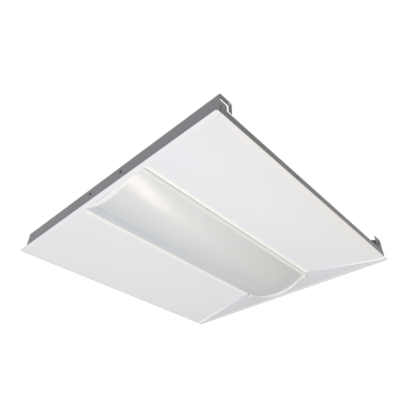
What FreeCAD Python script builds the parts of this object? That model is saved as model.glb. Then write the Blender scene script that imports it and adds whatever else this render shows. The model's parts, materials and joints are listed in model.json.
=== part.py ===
import FreeCAD, Part
import math
import os
import re
import Sketcher

# Recessed troffer for a two foot by two foot ceiling grid.
# X runs along the lens, Y across it and Z up. The origin is the centre of the face
# that shows in the room, on the plane that rests on the grid.

Vector = FreeCAD.Vector

SIZES = {
    # face and frame
    "face_length": 603, "face_width": 603, "body_height": 50.35,
    "plate_gauge": 0.8, "reflector_gauge": 0.6, "bend_radius": 0.6, "hem_radius": 0.3,
    "hem_slack": 0.1, "cut_margin": 1,
    # end plates: bent wall with a lip at the foot and one at the head
    "end_wall_inset": 10.2, "end_lip_setback": 1.0, "top_lip_depth": 14, "top_lip_cut": 13,
    "hanger_hole_radius": 3.2, "hanger_hole_inset": 7, "hanger_side_inset": 31.5,
    "end_screw_spacing": 100, "end_screw_height": 35.4,
    # corner ears and the clips that fold out over the grid
    "ear_reach": 16, "ear_top": 34, "ear_foot": 2, "ear_cut": 2,
    "clip_gap": 0.3, "clip_reach": 28.5, "clip_band_foot": 38.9, "clip_leg_width": 8,
    "clip_leg_foot": 24.4, "clip_corner_radius": 3, "clip_hole_radius": 2, "clip_hole_inset": 6,
    "clip_hole_drop": 4.2, "clip_leg_slant": 1.6,
    # side rails
    "rail_inset": 1.6, "rail_height": 19.4, "rail_lip": 8.5, "rail_top_lip": 6,
    "rail_top_setback": 20, "rail_hole_radius": 2.2, "rail_hole_spacing": 160,
    "rail_hole_height": 10.3,
    # white reflectors
    "ledge_width": 12, "recess_height": 32.4, "lens_opening": 192.2, "bead_width": 3.9,
    "bead_drop": 1.2, "panel_flange_top": 38.5, "panel_end_gap": 0.3,
    "slope_gap": 0.3, "slope_run": 10.2, "hem_leaf": 5.5, "reflector_clearance": 0.15,
    "cap_notch_foot": 20.5, "cap_notch_gap": 0.3, "plan_corner_cut": 3,
    # lens and its end caps
    "lens_drop": 2.3, "lens_radius": 166.2, "lens_thickness": 1.8, "lens_width": 188,
    "lens_corner_radius": 3, "lens_leg_top": 37.7, "lens_slide_gap": 0.3,
    "cap_inset": 18.6, "cap_thickness": 2, "cap_rim": 1.8, "cap_top": 36,
    "cap_web": 1, "cap_web_width": 22, "cap_web_overlap": 0.6,
    # rails that hold the lens, and the light engine
    "lens_rail_wall": 0.8, "lens_rail_end_gap": 0.4, "tray_height": 44, "tray_flat": 140,
    "tray_foot": 4.5, "tray_side_gap": 0.3, "tray_end_gap": 2.9, "board_end_gap": 10, "board_width": 22,
    "board_thickness": 1.2, "board_spacing": 72, "led_pitch": 24, "led_length": 2.8,
    "led_width": 3.5, "led_height": 0.7, "connector_length": 10, "connector_width": 9,
    "connector_height": 3.6,
    "tray_screw_inset": 78, "standoff_radius": 4, "board_screw_inset": 28,
    # back channel
    "spine_foot": 33.9, "spine_gap": 0.05, "spine_setback": 0.1,
    "spine_tab_height": 18, "spine_tab_width": 150,
    # driver box and cover
    "box_length": 300, "box_width": 90, "box_height": 34, "box_tab": 10, "box_tab_width": 24,
    "knockout_radius": 11.1, "knockout_height": 15.5, "knockout_slug_gap": 0.1,
    "cover_gap": 0.4, "cover_lip": 7, "cover_screw_inset": 6,
    "box_rivet_inset": 9,
    # driver and wiring
    "driver_offset": -20, "driver_end_room": 150, "driver_width": 42, "driver_height": 26,
    "driver_cap_length": 8, "driver_foot_length": 12, "driver_foot_thickness": 1,
    "terminal_inset": 38, "terminal_length": 24, "terminal_width": 26, "terminal_height": 13,
    "terminal_pitch": 8, "terminal_entry_height": 6, "wire_radius": 0.9, "wire_height": 9,
    "wire_bend": 3, "wire_entry_depth": 5, "wire_entry_gap": 0.05,
    "lead_hole_radius": 6, "lead_hole_inset": 25, "lead_spacing": 5, "bushing_wall": 1.2,
    "bushing_lip": 1.6, "bushing_gap": 0.1, "ground_inset": 15, "ground_side": 25,
    # fasteners
    "screw_head_radius": 3.4, "screw_head_height": 1.8, "screw_shank_radius": 1.7,
    "screw_hole_radius": 1.9, "screw_length": 5, "small_head_radius": 2.6,
    "small_head_height": 1.3, "small_shank_radius": 1.3, "small_hole_radius": 1.5,
    "small_tail": 1.5, "tray_screw_gap": 0.4,
}

doc = FreeCAD.newDocument("recessed_troffer")
sheet = doc.addObject("Spreadsheet::Sheet", "Sizes")
for row, (alias, size) in enumerate(SIZES.items(), start=1):
    sheet.set(f"A{row}", alias)
    sheet.set(f"B{row}", str(size))
    sheet.setAlias(f"B{row}", alias)
doc.recompute()

# Places worked out from the sizes, as formulas that each feature is bound to.
HALF_LENGTH = "(face_length / 2)"
HALF_WIDTH = "(face_width / 2)"
HEM_TOP = "(2 * reflector_gauge + plate_gauge + hem_slack)"
LIP_TOP = "(reflector_gauge + plate_gauge)"
END_OUT = f"({HALF_LENGTH} - end_wall_inset)"
END_IN = f"({END_OUT} - plate_gauge)"
RAIL_OUT = f"({HALF_WIDTH} - rail_inset)"
RAIL_IN = f"({RAIL_OUT} - plate_gauge)"
EAR_IN = f"({RAIL_IN} - plate_gauge)"
EAR_END = f"({END_OUT} - plate_gauge - ear_reach)"
CLIP_ROOT = f"({END_IN} - clip_gap)"
CLIP_END = f"({CLIP_ROOT} - clip_reach)"
LEDGE_IN = f"({HALF_WIDTH} - ledge_width)"
SLOPE_FOOT = f"({END_IN} - slope_gap)"
PANEL_END = f"({SLOPE_FOOT} - panel_end_gap)"
RAIL_END = f"({PANEL_END} - hem_slack)"
SPINE_END = f"({CLIP_ROOT} - spine_setback)"
OPENING = "(lens_opening / 2)"
BEAD_OUT = f"({OPENING} + bead_width)"
BEAD_IN = f"({OPENING} + bead_width - bead_drop)"
SPINE_IN = f"({OPENING} + reflector_gauge)"
SPINE_OUT = f"({SPINE_IN} + plate_gauge)"
SPINE_TOP = "(body_height - plate_gauge - spine_gap)"
SPINE_UNDER = f"({SPINE_TOP} - plate_gauge)"
LENS_HALF = "(lens_width / 2)"
CAP_OUT = f"({HALF_LENGTH} - cap_inset)"
CAP_IN = f"({CAP_OUT} - cap_thickness)"
TRAY_HALF = f"({CAP_IN} - tray_end_gap)"
BOARD_HALF = f"({TRAY_HALF} - board_end_gap)"
BOARD_SCREW = f"(led_pitch * floor(({BOARD_HALF} - board_screw_inset) / led_pitch + 0.5))"
RAIL_WEB_UNDER = "(lens_leg_top + lens_slide_gap)"
RAIL_WEB_TOP = f"({RAIL_WEB_UNDER} + lens_rail_wall)"
TRAY_TOP = "(tray_height + reflector_gauge)"
BOX_FLOOR = f"({SPINE_TOP} + plate_gauge)"
BOX_TOP = f"({SPINE_TOP} + box_height)"
KNOCKOUT_Z = f"({SPINE_TOP} + knockout_height)"
WIRE_Z = f"({BOX_FLOOR} + wire_height)"
ENTRY_Z = f"({BOX_FLOOR} + terminal_entry_height)"
LEAD_HOLE = "(lead_hole_inset - box_length / 2)"
TERMINAL = "(box_length / 2 - terminal_inset)"
DRIVER_HALF = "((box_length - driver_end_room) / 2)"


def bound(formula):
    """The formula with every size named as a cell of the sheet."""
    return re.sub(r"\b([a-z]+(?:_[a-z]+)+)\b", r"Sizes.\1", str(formula))


def value(formula):
    """The formula's present value in millimetres."""
    return float(sheet.evalExpression(bound(formula)))


def neg(formula):
    return f"-({formula})"


# ---------------------------------------------------------------- sketch helpers

def new_body(label):
    body = doc.addObject("PartDesign::Body", label)
    body.Label = label
    return body


def new_sketch(body, plane, offset="0"):
    """A sketch on one of the body's own origin planes, moved off it by the offset."""
    sketch = body.newObject("Sketcher::SketchObject", f"{body.Label}_sketch")
    support = [item for item in body.Origin.OriginFeatures if item.Role == plane][0]
    sketch.AttachmentSupport = [(support, "")]
    sketch.MapMode = "FlatFace"
    sketch.setExpression("AttachmentOffset.Base.z", bound(offset))
    return sketch


def fix_point(sketch, geometry, position, corner):
    """Tie one sketch point to a pair of formulas."""
    for kind, formula in zip(("DistanceX", "DistanceY"), corner):
        index = sketch.addConstraint(Sketcher.Constraint(kind, geometry, position, value(formula)))
        sketch.setExpression(f"Constraints[{index}]", bound(formula))


def size_constraint(sketch, formula, kind, *where):
    index = sketch.addConstraint(Sketcher.Constraint(kind, *where, value(formula)))
    sketch.setExpression(f"Constraints[{index}]", bound(formula))


def flat(point):
    return Vector(point[0], point[1], 0)


def polygon(body, plane, corners, offset="0"):
    """A closed outline of straight lines with every corner tied to its formulas."""
    sketch = new_sketch(body, plane, offset)
    points = [(value(x), value(y)) for x, y in corners]
    count = len(points)
    for index in range(count):
        sketch.addGeometry(Part.LineSegment(flat(points[index]), flat(points[(index + 1) % count])))
    for index in range(count):
        sketch.addConstraint(Sketcher.Constraint("Coincident", index, 2, (index + 1) % count, 1))
        fix_point(sketch, index, 1, corners[index])
    return sketch


def rectangle(body, plane, low, high, offset="0"):
    corners = [(low[0], low[1]), (high[0], low[1]), (high[0], high[1]), (low[0], high[1])]
    return polygon(body, plane, corners, offset)


def circles(body, plane, centres, radius, offset="0"):
    sketch = new_sketch(body, plane, offset)
    for index, centre in enumerate(centres):
        spot = Vector(value(centre[0]), value(centre[1]), 0)
        sketch.addGeometry(Part.Circle(spot, Vector(0, 0, 1), value(radius)))
        fix_point(sketch, index, 3, centre)
        size_constraint(sketch, radius, "Radius", index)
    return sketch


def unit(start, end):
    length = math.dist(start, end)
    return ((end[0] - start[0]) / length, (end[1] - start[1]) / length)


def corner_arc(before, corner, after, radius):
    """Tangent arc at a corner: the arc, and True where it runs anticlockwise."""
    inward, outward = unit(before, corner), unit(corner, after)
    cross = inward[0] * outward[1] - inward[1] * outward[0]
    turn = math.atan2(abs(cross), inward[0] * outward[0] + inward[1] * outward[1])
    trim = radius * math.tan(turn / 2)
    side = 1 if cross > 0 else -1
    start = (corner[0] - trim * inward[0], corner[1] - trim * inward[1])
    end = (corner[0] + trim * outward[0], corner[1] + trim * outward[1])
    centre = (start[0] - side * radius * inward[1], start[1] + side * radius * inward[0])
    first, last = (start, end) if side > 0 else (end, start)
    angles = [math.atan2(p[1] - centre[1], p[0] - centre[0]) for p in (first, last)]
    circle = Part.Circle(flat(centre), Vector(0, 0, 1), radius)
    return Part.ArcOfCircle(circle, angles[0], angles[1]), side > 0, start, end


def bent_face(sketch, points, radii, formulas):
    """One face of a bent sheet: its lines joined by arcs. Returns the line numbers."""
    lines, starts, ends, arcs = [], list(points[:-1]), list(points[1:]), {}
    for index in range(1, len(points) - 1):
        arc = corner_arc(points[index - 1], points[index], points[index + 1], radii[index])
        arcs[index] = arc
        ends[index - 1], starts[index] = arc[2], arc[3]
    for start, end in zip(starts, ends):
        lines.append(sketch.addGeometry(Part.LineSegment(flat(start), flat(end))))
    for index, (arc, anticlockwise, _, _) in arcs.items():
        number = sketch.addGeometry(arc)
        first, last = (1, 2) if anticlockwise else (2, 1)
        sketch.addConstraint(Sketcher.Constraint("Tangent", lines[index - 1], 2, number, first))
        sketch.addConstraint(Sketcher.Constraint("Tangent", lines[index], 1, number, last))
        size_constraint(sketch, formulas[index], "Radius", number)
    return lines


def bent_sheet(body, plane, corners, gauge, side, radius="bend_radius"):
    """Section of a bent sheet. The corners are one face; the other lies one gauge to its side."""
    sketch = new_sketch(body, plane)
    points = [(value(x), value(y)) for x, y in corners]
    thick, inner = value(gauge), value(radius)
    steps = [unit(points[i], points[i + 1]) for i in range(len(points) - 1)]
    normals = [(-side * y, side * x) for x, y in steps]
    back, front_radii, back_radii, front_names, back_names = [], [0], [0], [""], [""]
    for index, point in enumerate(points):
        one, two = normals[max(index - 1, 0)], normals[min(index, len(normals) - 1)]
        scale = thick / (1 + one[0] * two[0] + one[1] * two[1])
        back.append((point[0] + scale * (one[0] + two[0]), point[1] + scale * (one[1] + two[1])))
    for one, two in zip(steps, steps[1:]):
        back_inside = (one[0] * two[1] - one[1] * two[0]) * side > 0
        front_radii.append(inner + thick if back_inside else inner)
        back_radii.append(inner if back_inside else inner + thick)
        wide, narrow = f"{radius} + {gauge}", radius
        front_names.append(wide if back_inside else narrow)
        back_names.append(narrow if back_inside else wide)
    front_lines = bent_face(sketch, points, front_radii, front_names)
    back_lines = bent_face(sketch, back, back_radii, back_names)
    for index, corner in enumerate(corners):
        if index == 0:
            fix_point(sketch, front_lines[0], 1, corner)
        elif index == len(corners) - 1:
            fix_point(sketch, front_lines[-1], 2, corner)
        else:
            mark = sketch.addGeometry(Part.Point(flat(points[index])), True)
            fix_point(sketch, mark, 1, corner)
            for line in (front_lines[index - 1], front_lines[index]):
                sketch.addConstraint(Sketcher.Constraint("PointOnObject", mark, 1, line))
    for front, rear in zip(front_lines, back_lines):
        sketch.addConstraint(Sketcher.Constraint("Parallel", front, rear))
        size_constraint(sketch, gauge, "Distance", rear, 1, front)
    for position, line, point in ((1, 0, 0), (2, -1, -1)):
        edge = sketch.addGeometry(Part.LineSegment(flat(points[point]), flat(back[point])))
        sketch.addConstraint(Sketcher.Constraint("Coincident", edge, 1, front_lines[line], position))
        sketch.addConstraint(Sketcher.Constraint("Coincident", edge, 2, back_lines[line], position))
        sketch.addConstraint(Sketcher.Constraint("Perpendicular", edge, front_lines[line]))
    return sketch


# --------------------------------------------------------------- feature helpers

def pad(body, sketch, length, centred=False, backwards=False):
    feature = body.newObject("PartDesign::Pad", f"{body.Label}_pad")
    feature.Profile = sketch
    feature.setExpression("Length", bound(length))
    feature.SideType = "Symmetric" if centred else "One side"
    feature.Reversed = backwards
    body.Tip = feature
    return feature


def pocket(body, sketch, depth, centred=False, backwards=False):
    """A cut that must take something away."""
    doc.recompute()
    before = body.Shape.Volume
    feature = body.newObject("PartDesign::Pocket", f"{body.Label}_pocket")
    feature.Profile = sketch
    feature.setExpression("Length", bound(depth))
    feature.SideType = "Symmetric" if centred else "One side"
    feature.Reversed = backwards
    body.Tip = feature
    doc.recompute()
    if body.Shape.Volume >= before:
        raise ValueError(f"{body.Label}: a pocket cuts nothing")
    return feature


def place(item, x="0", y="0", z="0"):
    for axis, formula in zip("xyz", (x, y, z)):
        item.setExpression(f"Placement.Base.{axis}", bound(formula))


def box(name, low, high):
    """A Part box between two corners given as formulas."""
    item = doc.addObject("Part::Box", name)
    for dimension, start, end in zip(("Length", "Width", "Height"), low, high):
        item.setExpression(dimension, bound(f"({end}) - ({start})"))
    place(item, *low)
    return item


def rod(name, foot, radius, length, axis=Vector(0, 0, 1), tip=None):
    """A cylinder, or a cone where a tip radius is given, standing at its foot."""
    if tip is None:
        item = doc.addObject("Part::Cylinder", name)
        item.setExpression("Radius", bound(radius))
    else:
        item = doc.addObject("Part::Cone", name)
        item.setExpression("Radius1", bound(radius))
        item.setExpression("Radius2", bound(tip))
    item.setExpression("Height", bound(length))
    item.Placement = FreeCAD.Placement(Vector(), FreeCAD.Rotation(Vector(0, 0, 1), axis))
    place(item, *foot)
    return item


def fused(name, pieces):
    item = doc.addObject("Part::MultiFuse", name)
    item.Shapes = pieces
    return item


def group(label, pieces):
    """Separate solids that share one node."""
    item = doc.addObject("Part::Compound", label)
    item.Links = pieces
    item.Label = label
    return item


def shifted(spot, axis, distance):
    """The spot moved along a unit axis by a formula."""
    return [f"{start} + ({distance}) * {step:g}" for start, step in zip(spot, axis)]


def hexagon(name, foot, radius, length, axis=Vector(0, 0, 1)):
    """A six-sided prism standing at its foot."""
    item = doc.addObject("Part::Prism", name)
    item.Polygon = 6
    item.setExpression("Circumradius", bound(radius))
    item.setExpression("Height", bound(length))
    item.Placement = FreeCAD.Placement(Vector(), FreeCAD.Rotation(Vector(0, 0, 1), axis))
    place(item, *foot)
    return item


def fastener(name, seat, axis, shank_length, size="screw"):
    """A hex head screw whose head sits on the seat and whose shank runs against the axis."""
    head = hexagon(f"{name}_head", seat, f"{size}_head_radius", f"{size}_head_height", axis)
    foot = shifted(seat, axis, neg(shank_length))
    shank = rod(f"{name}_shank", foot, f"{size}_shank_radius",
                f"{shank_length} + {size}_head_height / 2", axis)
    return fused(name, [head, shank])


nodes = []


def keep(item):
    nodes.append(item)
    return item


# ------------------------------------------------------------------ sheet metal

def end_plate(label, end):
    """Bent end wall with its lips, corner ears, screw holes and hanger holes."""
    body = new_body(label)
    face = [(f"{end} * ({HALF_LENGTH} - end_lip_setback)", LIP_TOP), (f"{end} * {END_OUT}", LIP_TOP),
            (f"{end} * {END_OUT}", "body_height"),
            (f"{end} * ({END_OUT} - top_lip_depth)", "body_height")]
    section = bent_sheet(body, "XZ_Plane", face, "plate_gauge", end)
    pad(body, section, f"2 * {RAIL_IN}", centred=True)
    ear = [(f"{end} * {END_OUT}", "ear_foot"), (f"{end} * {EAR_END}", "ear_foot"),
           (f"{end} * {EAR_END}", "ear_top - ear_cut"), (f"{end} * ({EAR_END} + ear_cut)", "ear_top"),
           (f"{end} * {END_OUT}", "ear_top")]
    for side in (-1, 1):
        offset = RAIL_IN if side < 0 else neg(EAR_IN)
        pad(body, polygon(body, "XZ_Plane", ear, offset), "plate_gauge", backwards=True)
    for side in (-1, 1):
        inner = f"({EAR_IN} - clip_gap)"
        beyond = f"({END_OUT} - top_lip_depth - cut_margin)"
        cut = [(f"{end} * {beyond}", f"{side} * ({RAIL_IN} + cut_margin)"),
               (f"{end} * {END_IN}", f"{side} * ({RAIL_IN} + cut_margin)"),
               (f"{end} * {END_IN}", f"{side} * {inner}"),
               (f"{end} * {beyond}", f"{side} * ({inner} - top_lip_cut)")]
        pocket(body, polygon(body, "XY_Plane", cut, "body_height"), "plate_gauge")
    hanger = [(f"{end} * ({END_IN} - hanger_hole_inset)", f"{side} * ({HALF_WIDTH} - hanger_side_inset)")
              for side in (-1, 1)]
    pocket(body, circles(body, "XY_Plane", hanger, "hanger_hole_radius", "body_height"), "plate_gauge")
    screw = [(f"{side} * end_screw_spacing / 2", "end_screw_height") for side in (-1, 1)]
    holes = circles(body, "YZ_Plane", screw, "screw_hole_radius", f"{end} * {END_OUT}")
    pocket(body, holes, "2 * plate_gauge", centred=True)
    return keep(body)


def end_reflector(label, end):
    """White lip hemmed over the end plate's foot, with a slope that stops under the panels."""
    body = new_body(label)
    face = [(f"{end} * ({HALF_LENGTH} - hem_leaf)", HEM_TOP), (f"{end} * {HALF_LENGTH}", HEM_TOP),
            (f"{end} * {HALF_LENGTH}", "0"), (f"{end} * {SLOPE_FOOT}", "0"),
            (f"{end} * ({SLOPE_FOOT} - slope_run)", "recess_height")]
    section = bent_sheet(body, "XZ_Plane", face, "reflector_gauge", -end, "hem_radius")
    pad(body, section, "face_width", centred=True)
    notch = f"({OPENING} + cap_notch_gap)"
    under = "(recess_height - reflector_clearance)"
    bead = "(recess_height - bead_drop - reflector_clearance)"
    beyond, low, high = f"({HALF_WIDTH} + cut_margin)", "-cut_margin", "recess_height + cut_margin"
    right = [(beyond, low), (beyond, high)]
    left = [(neg(beyond), high), (neg(beyond), low)]
    profile = [(LEDGE_IN, low), (LEDGE_IN, "-reflector_clearance"), (BEAD_OUT, under),
               (BEAD_OUT, bead), (notch, bead), (notch, "cap_notch_foot")]
    mirrored = [(neg(y), z) for y, z in profile]
    outline = right + left + mirrored + profile[::-1]
    cut = polygon(body, "YZ_Plane", outline, f"{end} * {PANEL_END}")
    pocket(body, cut, "slope_run + slope_gap + cut_margin", backwards=end < 0)
    for side in (-1, 1):
        inset_x, inset_y = f"({HALF_LENGTH} - plan_corner_cut)", f"({HALF_WIDTH} - plan_corner_cut)"
        past_x, past_y = f"({HALF_LENGTH} + cut_margin)", f"({HALF_WIDTH} + cut_margin)"
        tip = [(inset_x, past_y), (inset_x, HALF_WIDTH), (HALF_LENGTH, inset_y), (past_x, inset_y),
               (past_x, past_y)]
        tip = [(f"{end} * {x}", f"{side} * {y}") for x, y in tip]
        pocket(body, polygon(body, "XY_Plane", tip, HEM_TOP), HEM_TOP)
    return keep(body)


def side_rail(label, side):
    """Bent side rail that stands on the panel's ledge, with holes for grid screws."""
    body = new_body(label)
    face = [(f"{side} * ({RAIL_OUT} - rail_lip)", "reflector_gauge"),
            (f"{side} * {RAIL_OUT}", "reflector_gauge"), (f"{side} * {RAIL_OUT}", "rail_height")]
    section = bent_sheet(body, "YZ_Plane", face, "plate_gauge", side)
    pad(body, section, f"2 * {RAIL_END}", centred=True)
    low = (f"{side} * ({RAIL_OUT} - rail_top_lip)", "rail_height - plate_gauge")
    lip = rectangle(body, "YZ_Plane", low, (f"{side} * {RAIL_OUT}", "rail_height"))
    pad(body, lip, f"2 * ({EAR_END} - rail_top_setback)", centred=True)
    spots = [(f"{step} * rail_hole_spacing / 2", "rail_hole_height") for step in (-1, 1)]
    holes = circles(body, "XZ_Plane", spots, "rail_hole_radius", f"{-side} * {RAIL_OUT}")
    pocket(body, holes, "2 * plate_gauge + cut_margin", centred=True)
    return keep(body)


def side_panel(label, side):
    """White wing: hemmed outer edge, flat ledge, slope, bead and the flange beside the lens."""
    body = new_body(label)
    face = [(f"{side} * ({RAIL_OUT} + hem_slack)", HEM_TOP), (f"{side} * {HALF_WIDTH}", HEM_TOP),
            (f"{side} * {HALF_WIDTH}", "0"), (f"{side} * {LEDGE_IN}", "0"),
            (f"{side} * {BEAD_OUT}", "recess_height"),
            (f"{side} * {BEAD_IN}", "recess_height - bead_drop"),
            (f"{side} * {OPENING}", "recess_height - bead_drop"),
            (f"{side} * {OPENING}", "panel_flange_top")]
    section = bent_sheet(body, "YZ_Plane", face, "reflector_gauge", -side, "hem_radius")
    pad(body, section, f"2 * {PANEL_END}", centred=True)
    return keep(body)


def spine():
    """Back channel over the lens, with a tab at each end for the end plate's screws."""
    body = new_body("spine_channel")
    face = [(neg(SPINE_OUT), "spine_foot"), (neg(SPINE_OUT), SPINE_TOP),
            (SPINE_OUT, SPINE_TOP), (SPINE_OUT, "spine_foot")]
    pad(body, bent_sheet(body, "YZ_Plane", face, "plate_gauge", -1), f"2 * {SPINE_END}", centred=True)
    for end in (-1, 1):
        low = ("-spine_tab_width / 2", f"{SPINE_TOP} - spine_tab_height")
        high = ("spine_tab_width / 2", SPINE_TOP)
        tab = rectangle(body, "YZ_Plane", low, high, f"{end} * {SPINE_END}")
        pad(body, tab, "plate_gauge", backwards=end > 0)
    screw = [(f"{side} * end_screw_spacing / 2", "end_screw_height") for side in (-1, 1)]
    for end in (-1, 1):
        holes = circles(body, "YZ_Plane", screw, "screw_hole_radius", f"{end} * {SPINE_END}")
        pocket(body, holes, "2 * plate_gauge + cut_margin", centred=True)
    cut = circles(body, "XY_Plane", BOX_RIVET_SPOTS, "small_hole_radius", SPINE_TOP)
    pocket(body, cut, "plate_gauge")
    lead = circles(body, "XY_Plane", [(LEAD_HOLE, "0")], "lead_hole_radius", SPINE_TOP)
    pocket(body, lead, "plate_gauge")
    return keep(body)


# ------------------------------------------------------------------- grid clips

def grid_clip(label, end, side):
    """Hook die-cut at the corner: a band above the grid's height and a leg that drops behind it."""
    body = new_body(label)
    root, tip = f"{end} * {CLIP_ROOT}", f"{end} * {CLIP_END}"
    leg = f"{end} * ({CLIP_END} + clip_leg_width)"
    outline = [(root, "clip_band_foot"), (root, "body_height"),
               (f"{end} * ({CLIP_END} + clip_corner_radius)", "body_height"),
               (tip, "body_height - clip_corner_radius"), (tip, "clip_leg_foot"),
               (leg, "clip_leg_foot + clip_leg_slant"), (leg, "clip_band_foot")]
    offset = RAIL_IN if side < 0 else neg(EAR_IN)
    pad(body, polygon(body, "XZ_Plane", outline, offset), "plate_gauge", backwards=True)
    hole = [(f"{end} * ({CLIP_END} + clip_hole_inset)", "body_height - clip_hole_drop")]
    cut = circles(body, "XZ_Plane", hole, "clip_hole_radius", f"{-side} * {RAIL_IN}")
    pocket(body, cut, "2 * plate_gauge + cut_margin", centred=True)
    return keep(body)


# ------------------------------------------------------------------------- lens

def lens_outline(body, plane, radius, corner, half, drop, top, offset="0"):
    """Outline of a bowed lens: legs, corner arcs and one wide arc, all tangent."""
    sketch = new_sketch(body, plane, offset)
    wide, small, reach, foot, head = [value(item) for item in (radius, corner, half, drop, top)]
    centre = (0.0, foot + wide)
    side = reach - small
    height = centre[1] - math.sqrt((wide - small) ** 2 - side ** 2)
    slope = math.atan2(height - centre[1], side)
    middle = Part.Circle(flat(centre), Vector(0, 0, 1), wide)
    sketch.addGeometry(Part.ArcOfCircle(middle, -math.pi - slope, slope))
    right = Part.Circle(Vector(side, height, 0), Vector(0, 0, 1), small)
    sketch.addGeometry(Part.ArcOfCircle(right, slope, 0))
    left = Part.Circle(Vector(-side, height, 0), Vector(0, 0, 1), small)
    sketch.addGeometry(Part.ArcOfCircle(left, math.pi, -math.pi - slope))
    sketch.addGeometry(Part.LineSegment(Vector(reach, height, 0), Vector(reach, head, 0)))
    sketch.addGeometry(Part.LineSegment(Vector(-reach, height, 0), Vector(-reach, head, 0)))
    for one, first, two, second in ((0, 2, 1, 1), (0, 1, 2, 2), (1, 2, 3, 1), (2, 1, 4, 1)):
        sketch.addConstraint(Sketcher.Constraint("Tangent", one, first, two, second))
    fix_point(sketch, 0, 3, ("0", f"{drop} + {radius}"))
    size_constraint(sketch, radius, "Radius", 0)
    for arc in (1, 2):
        size_constraint(sketch, corner, "Radius", arc)
    fix_point(sketch, 3, 2, (half, top))
    fix_point(sketch, 4, 2, (neg(half), top))
    return sketch


def close_outline(sketch):
    """Join the tops of the two legs."""
    reach, head = sketch.getPoint(3, 2).x, sketch.getPoint(3, 2).y
    line = sketch.addGeometry(Part.LineSegment(Vector(reach, head, 0), Vector(-reach, head, 0)))
    sketch.addConstraint(Sketcher.Constraint("Coincident", line, 1, 3, 2))
    sketch.addConstraint(Sketcher.Constraint("Coincident", line, 2, 4, 2))
    return sketch


def lens():
    """Frosted cover: a solid of the outer form, hollowed from above by the inner form."""
    body = new_body("lens")
    outer = lens_outline(body, "YZ_Plane", "lens_radius", "lens_corner_radius", LENS_HALF,
                         "lens_drop", "lens_leg_top")
    pad(body, close_outline(outer), f"2 * {CAP_IN}", centred=True)
    inner = lens_outline(body, "YZ_Plane", "(lens_radius - lens_thickness)",
                         "(lens_corner_radius - lens_thickness)", f"({LENS_HALF} - lens_thickness)",
                         "(lens_drop + lens_thickness)", "(lens_leg_top + cut_margin)")
    pocket(body, close_outline(inner), f"2 * {CAP_IN} + cut_margin", centred=True)
    return keep(body)


def lens_cap(label, end):
    """White end cap: a rim proud of the lens along the arc, and a thin web under each shoulder."""
    body = new_body(label)
    reach = f"({LENS_HALF} + cap_rim)"
    outline = lens_outline(body, "YZ_Plane", "(lens_radius + cap_rim)", "(lens_corner_radius + cap_rim)",
                           reach, "(lens_drop - cap_rim)", "cap_top", f"{end} * {CAP_IN}")
    pad(body, close_outline(outline), "cap_thickness", backwards=end < 0)
    foot = "(cap_notch_foot - cap_web_overlap)"
    for side in (-1, 1):
        inner, outer = f"{side} * ({reach} - cap_web_width)", f"{side} * {reach}"
        web = rectangle(body, "YZ_Plane", (inner, foot), (outer, "cap_top"), f"{end} * {CAP_OUT}")
        pad(body, web, "cap_web", backwards=end > 0)
    return keep(body)


def lens_rail(label, side):
    """Channel against the panel's flange that the leg of the lens pushes up into."""
    body = new_body(label)
    slot_out = f"({LENS_HALF} + lens_slide_gap)"
    slot_in = f"({LENS_HALF} - lens_thickness - lens_slide_gap)"
    foot = "(recess_height + lens_rail_wall)"
    outline = [(OPENING, foot), (OPENING, RAIL_WEB_TOP), (f"{slot_in} - lens_rail_wall", RAIL_WEB_TOP),
               (f"{slot_in} - lens_rail_wall", foot), (slot_in, foot), (slot_in, RAIL_WEB_UNDER),
               (slot_out, RAIL_WEB_UNDER), (slot_out, foot)]
    outline = [(f"{side} * ({y})", z) for y, z in outline]
    pad(body, polygon(body, "YZ_Plane", outline), f"2 * ({CAP_IN} - lens_rail_end_gap)", centred=True)
    return keep(body)


# ----------------------------------------------------------------- light engine

TRAY_SPOTS = [(f"{end} * ({TRAY_HALF} - tray_screw_inset)", "0") for end in (-1, 1)]
BOARD_SPOTS = {side: [(f"{end} * {BOARD_SCREW}", f"{side} * board_spacing / 2")
                      for end in (-1, 1)] for side in (-1, 1)}


def led_tray():
    """White inner reflector that rests on the lens rails and carries the boards."""
    body = new_body("led_tray")
    foot = f"({OPENING} - tray_side_gap)"
    face = [(neg(foot), RAIL_WEB_TOP), (f"-({foot} - tray_foot)", RAIL_WEB_TOP),
            ("-tray_flat / 2", "tray_height"), ("tray_flat / 2", "tray_height"),
            (f"({foot} - tray_foot)", RAIL_WEB_TOP), (foot, RAIL_WEB_TOP)]
    pad(body, bent_sheet(body, "YZ_Plane", face, "reflector_gauge", 1), f"2 * {TRAY_HALF}", centred=True)
    spots = TRAY_SPOTS + BOARD_SPOTS[-1] + BOARD_SPOTS[1]
    pocket(body, circles(body, "XY_Plane", spots, "small_hole_radius", TRAY_TOP), "2 * reflector_gauge")
    return keep(body)


def led_board(label, side):
    """Long thin board screwed under the tray."""
    body = new_body(label)
    low = (neg(BOARD_HALF), f"{side} * board_spacing / 2 - board_width / 2")
    high = (BOARD_HALF, f"{side} * board_spacing / 2 + board_width / 2")
    pad(body, rectangle(body, "XY_Plane", low, high, "tray_height - board_thickness"), "board_thickness")
    holes = circles(body, "XY_Plane", BOARD_SPOTS[side], "small_hole_radius", "tray_height")
    pocket(body, holes, "2 * board_thickness")
    return keep(body)


def led_row(label, side):
    """Packages at an even pitch under one board, clear of its screws."""
    pitch, half = value("led_pitch"), value(BOARD_HALF)
    first = int((half - value("led_length")) / pitch + 0.5)
    pieces = []
    for index in range(-first, first):
        x = f"({index} + 0.5) * led_pitch"
        y = f"{side} * board_spacing / 2"
        seat = "tray_height - board_thickness"
        low = [f"{x} - led_length / 2", f"{y} - led_width / 2", f"{seat} - led_height"]
        high = [f"{x} + led_length / 2", f"{y} + led_width / 2", seat]
        pieces.append(box(f"{label}_{index + first}", low, high))
    return keep(group(label, pieces))


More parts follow.
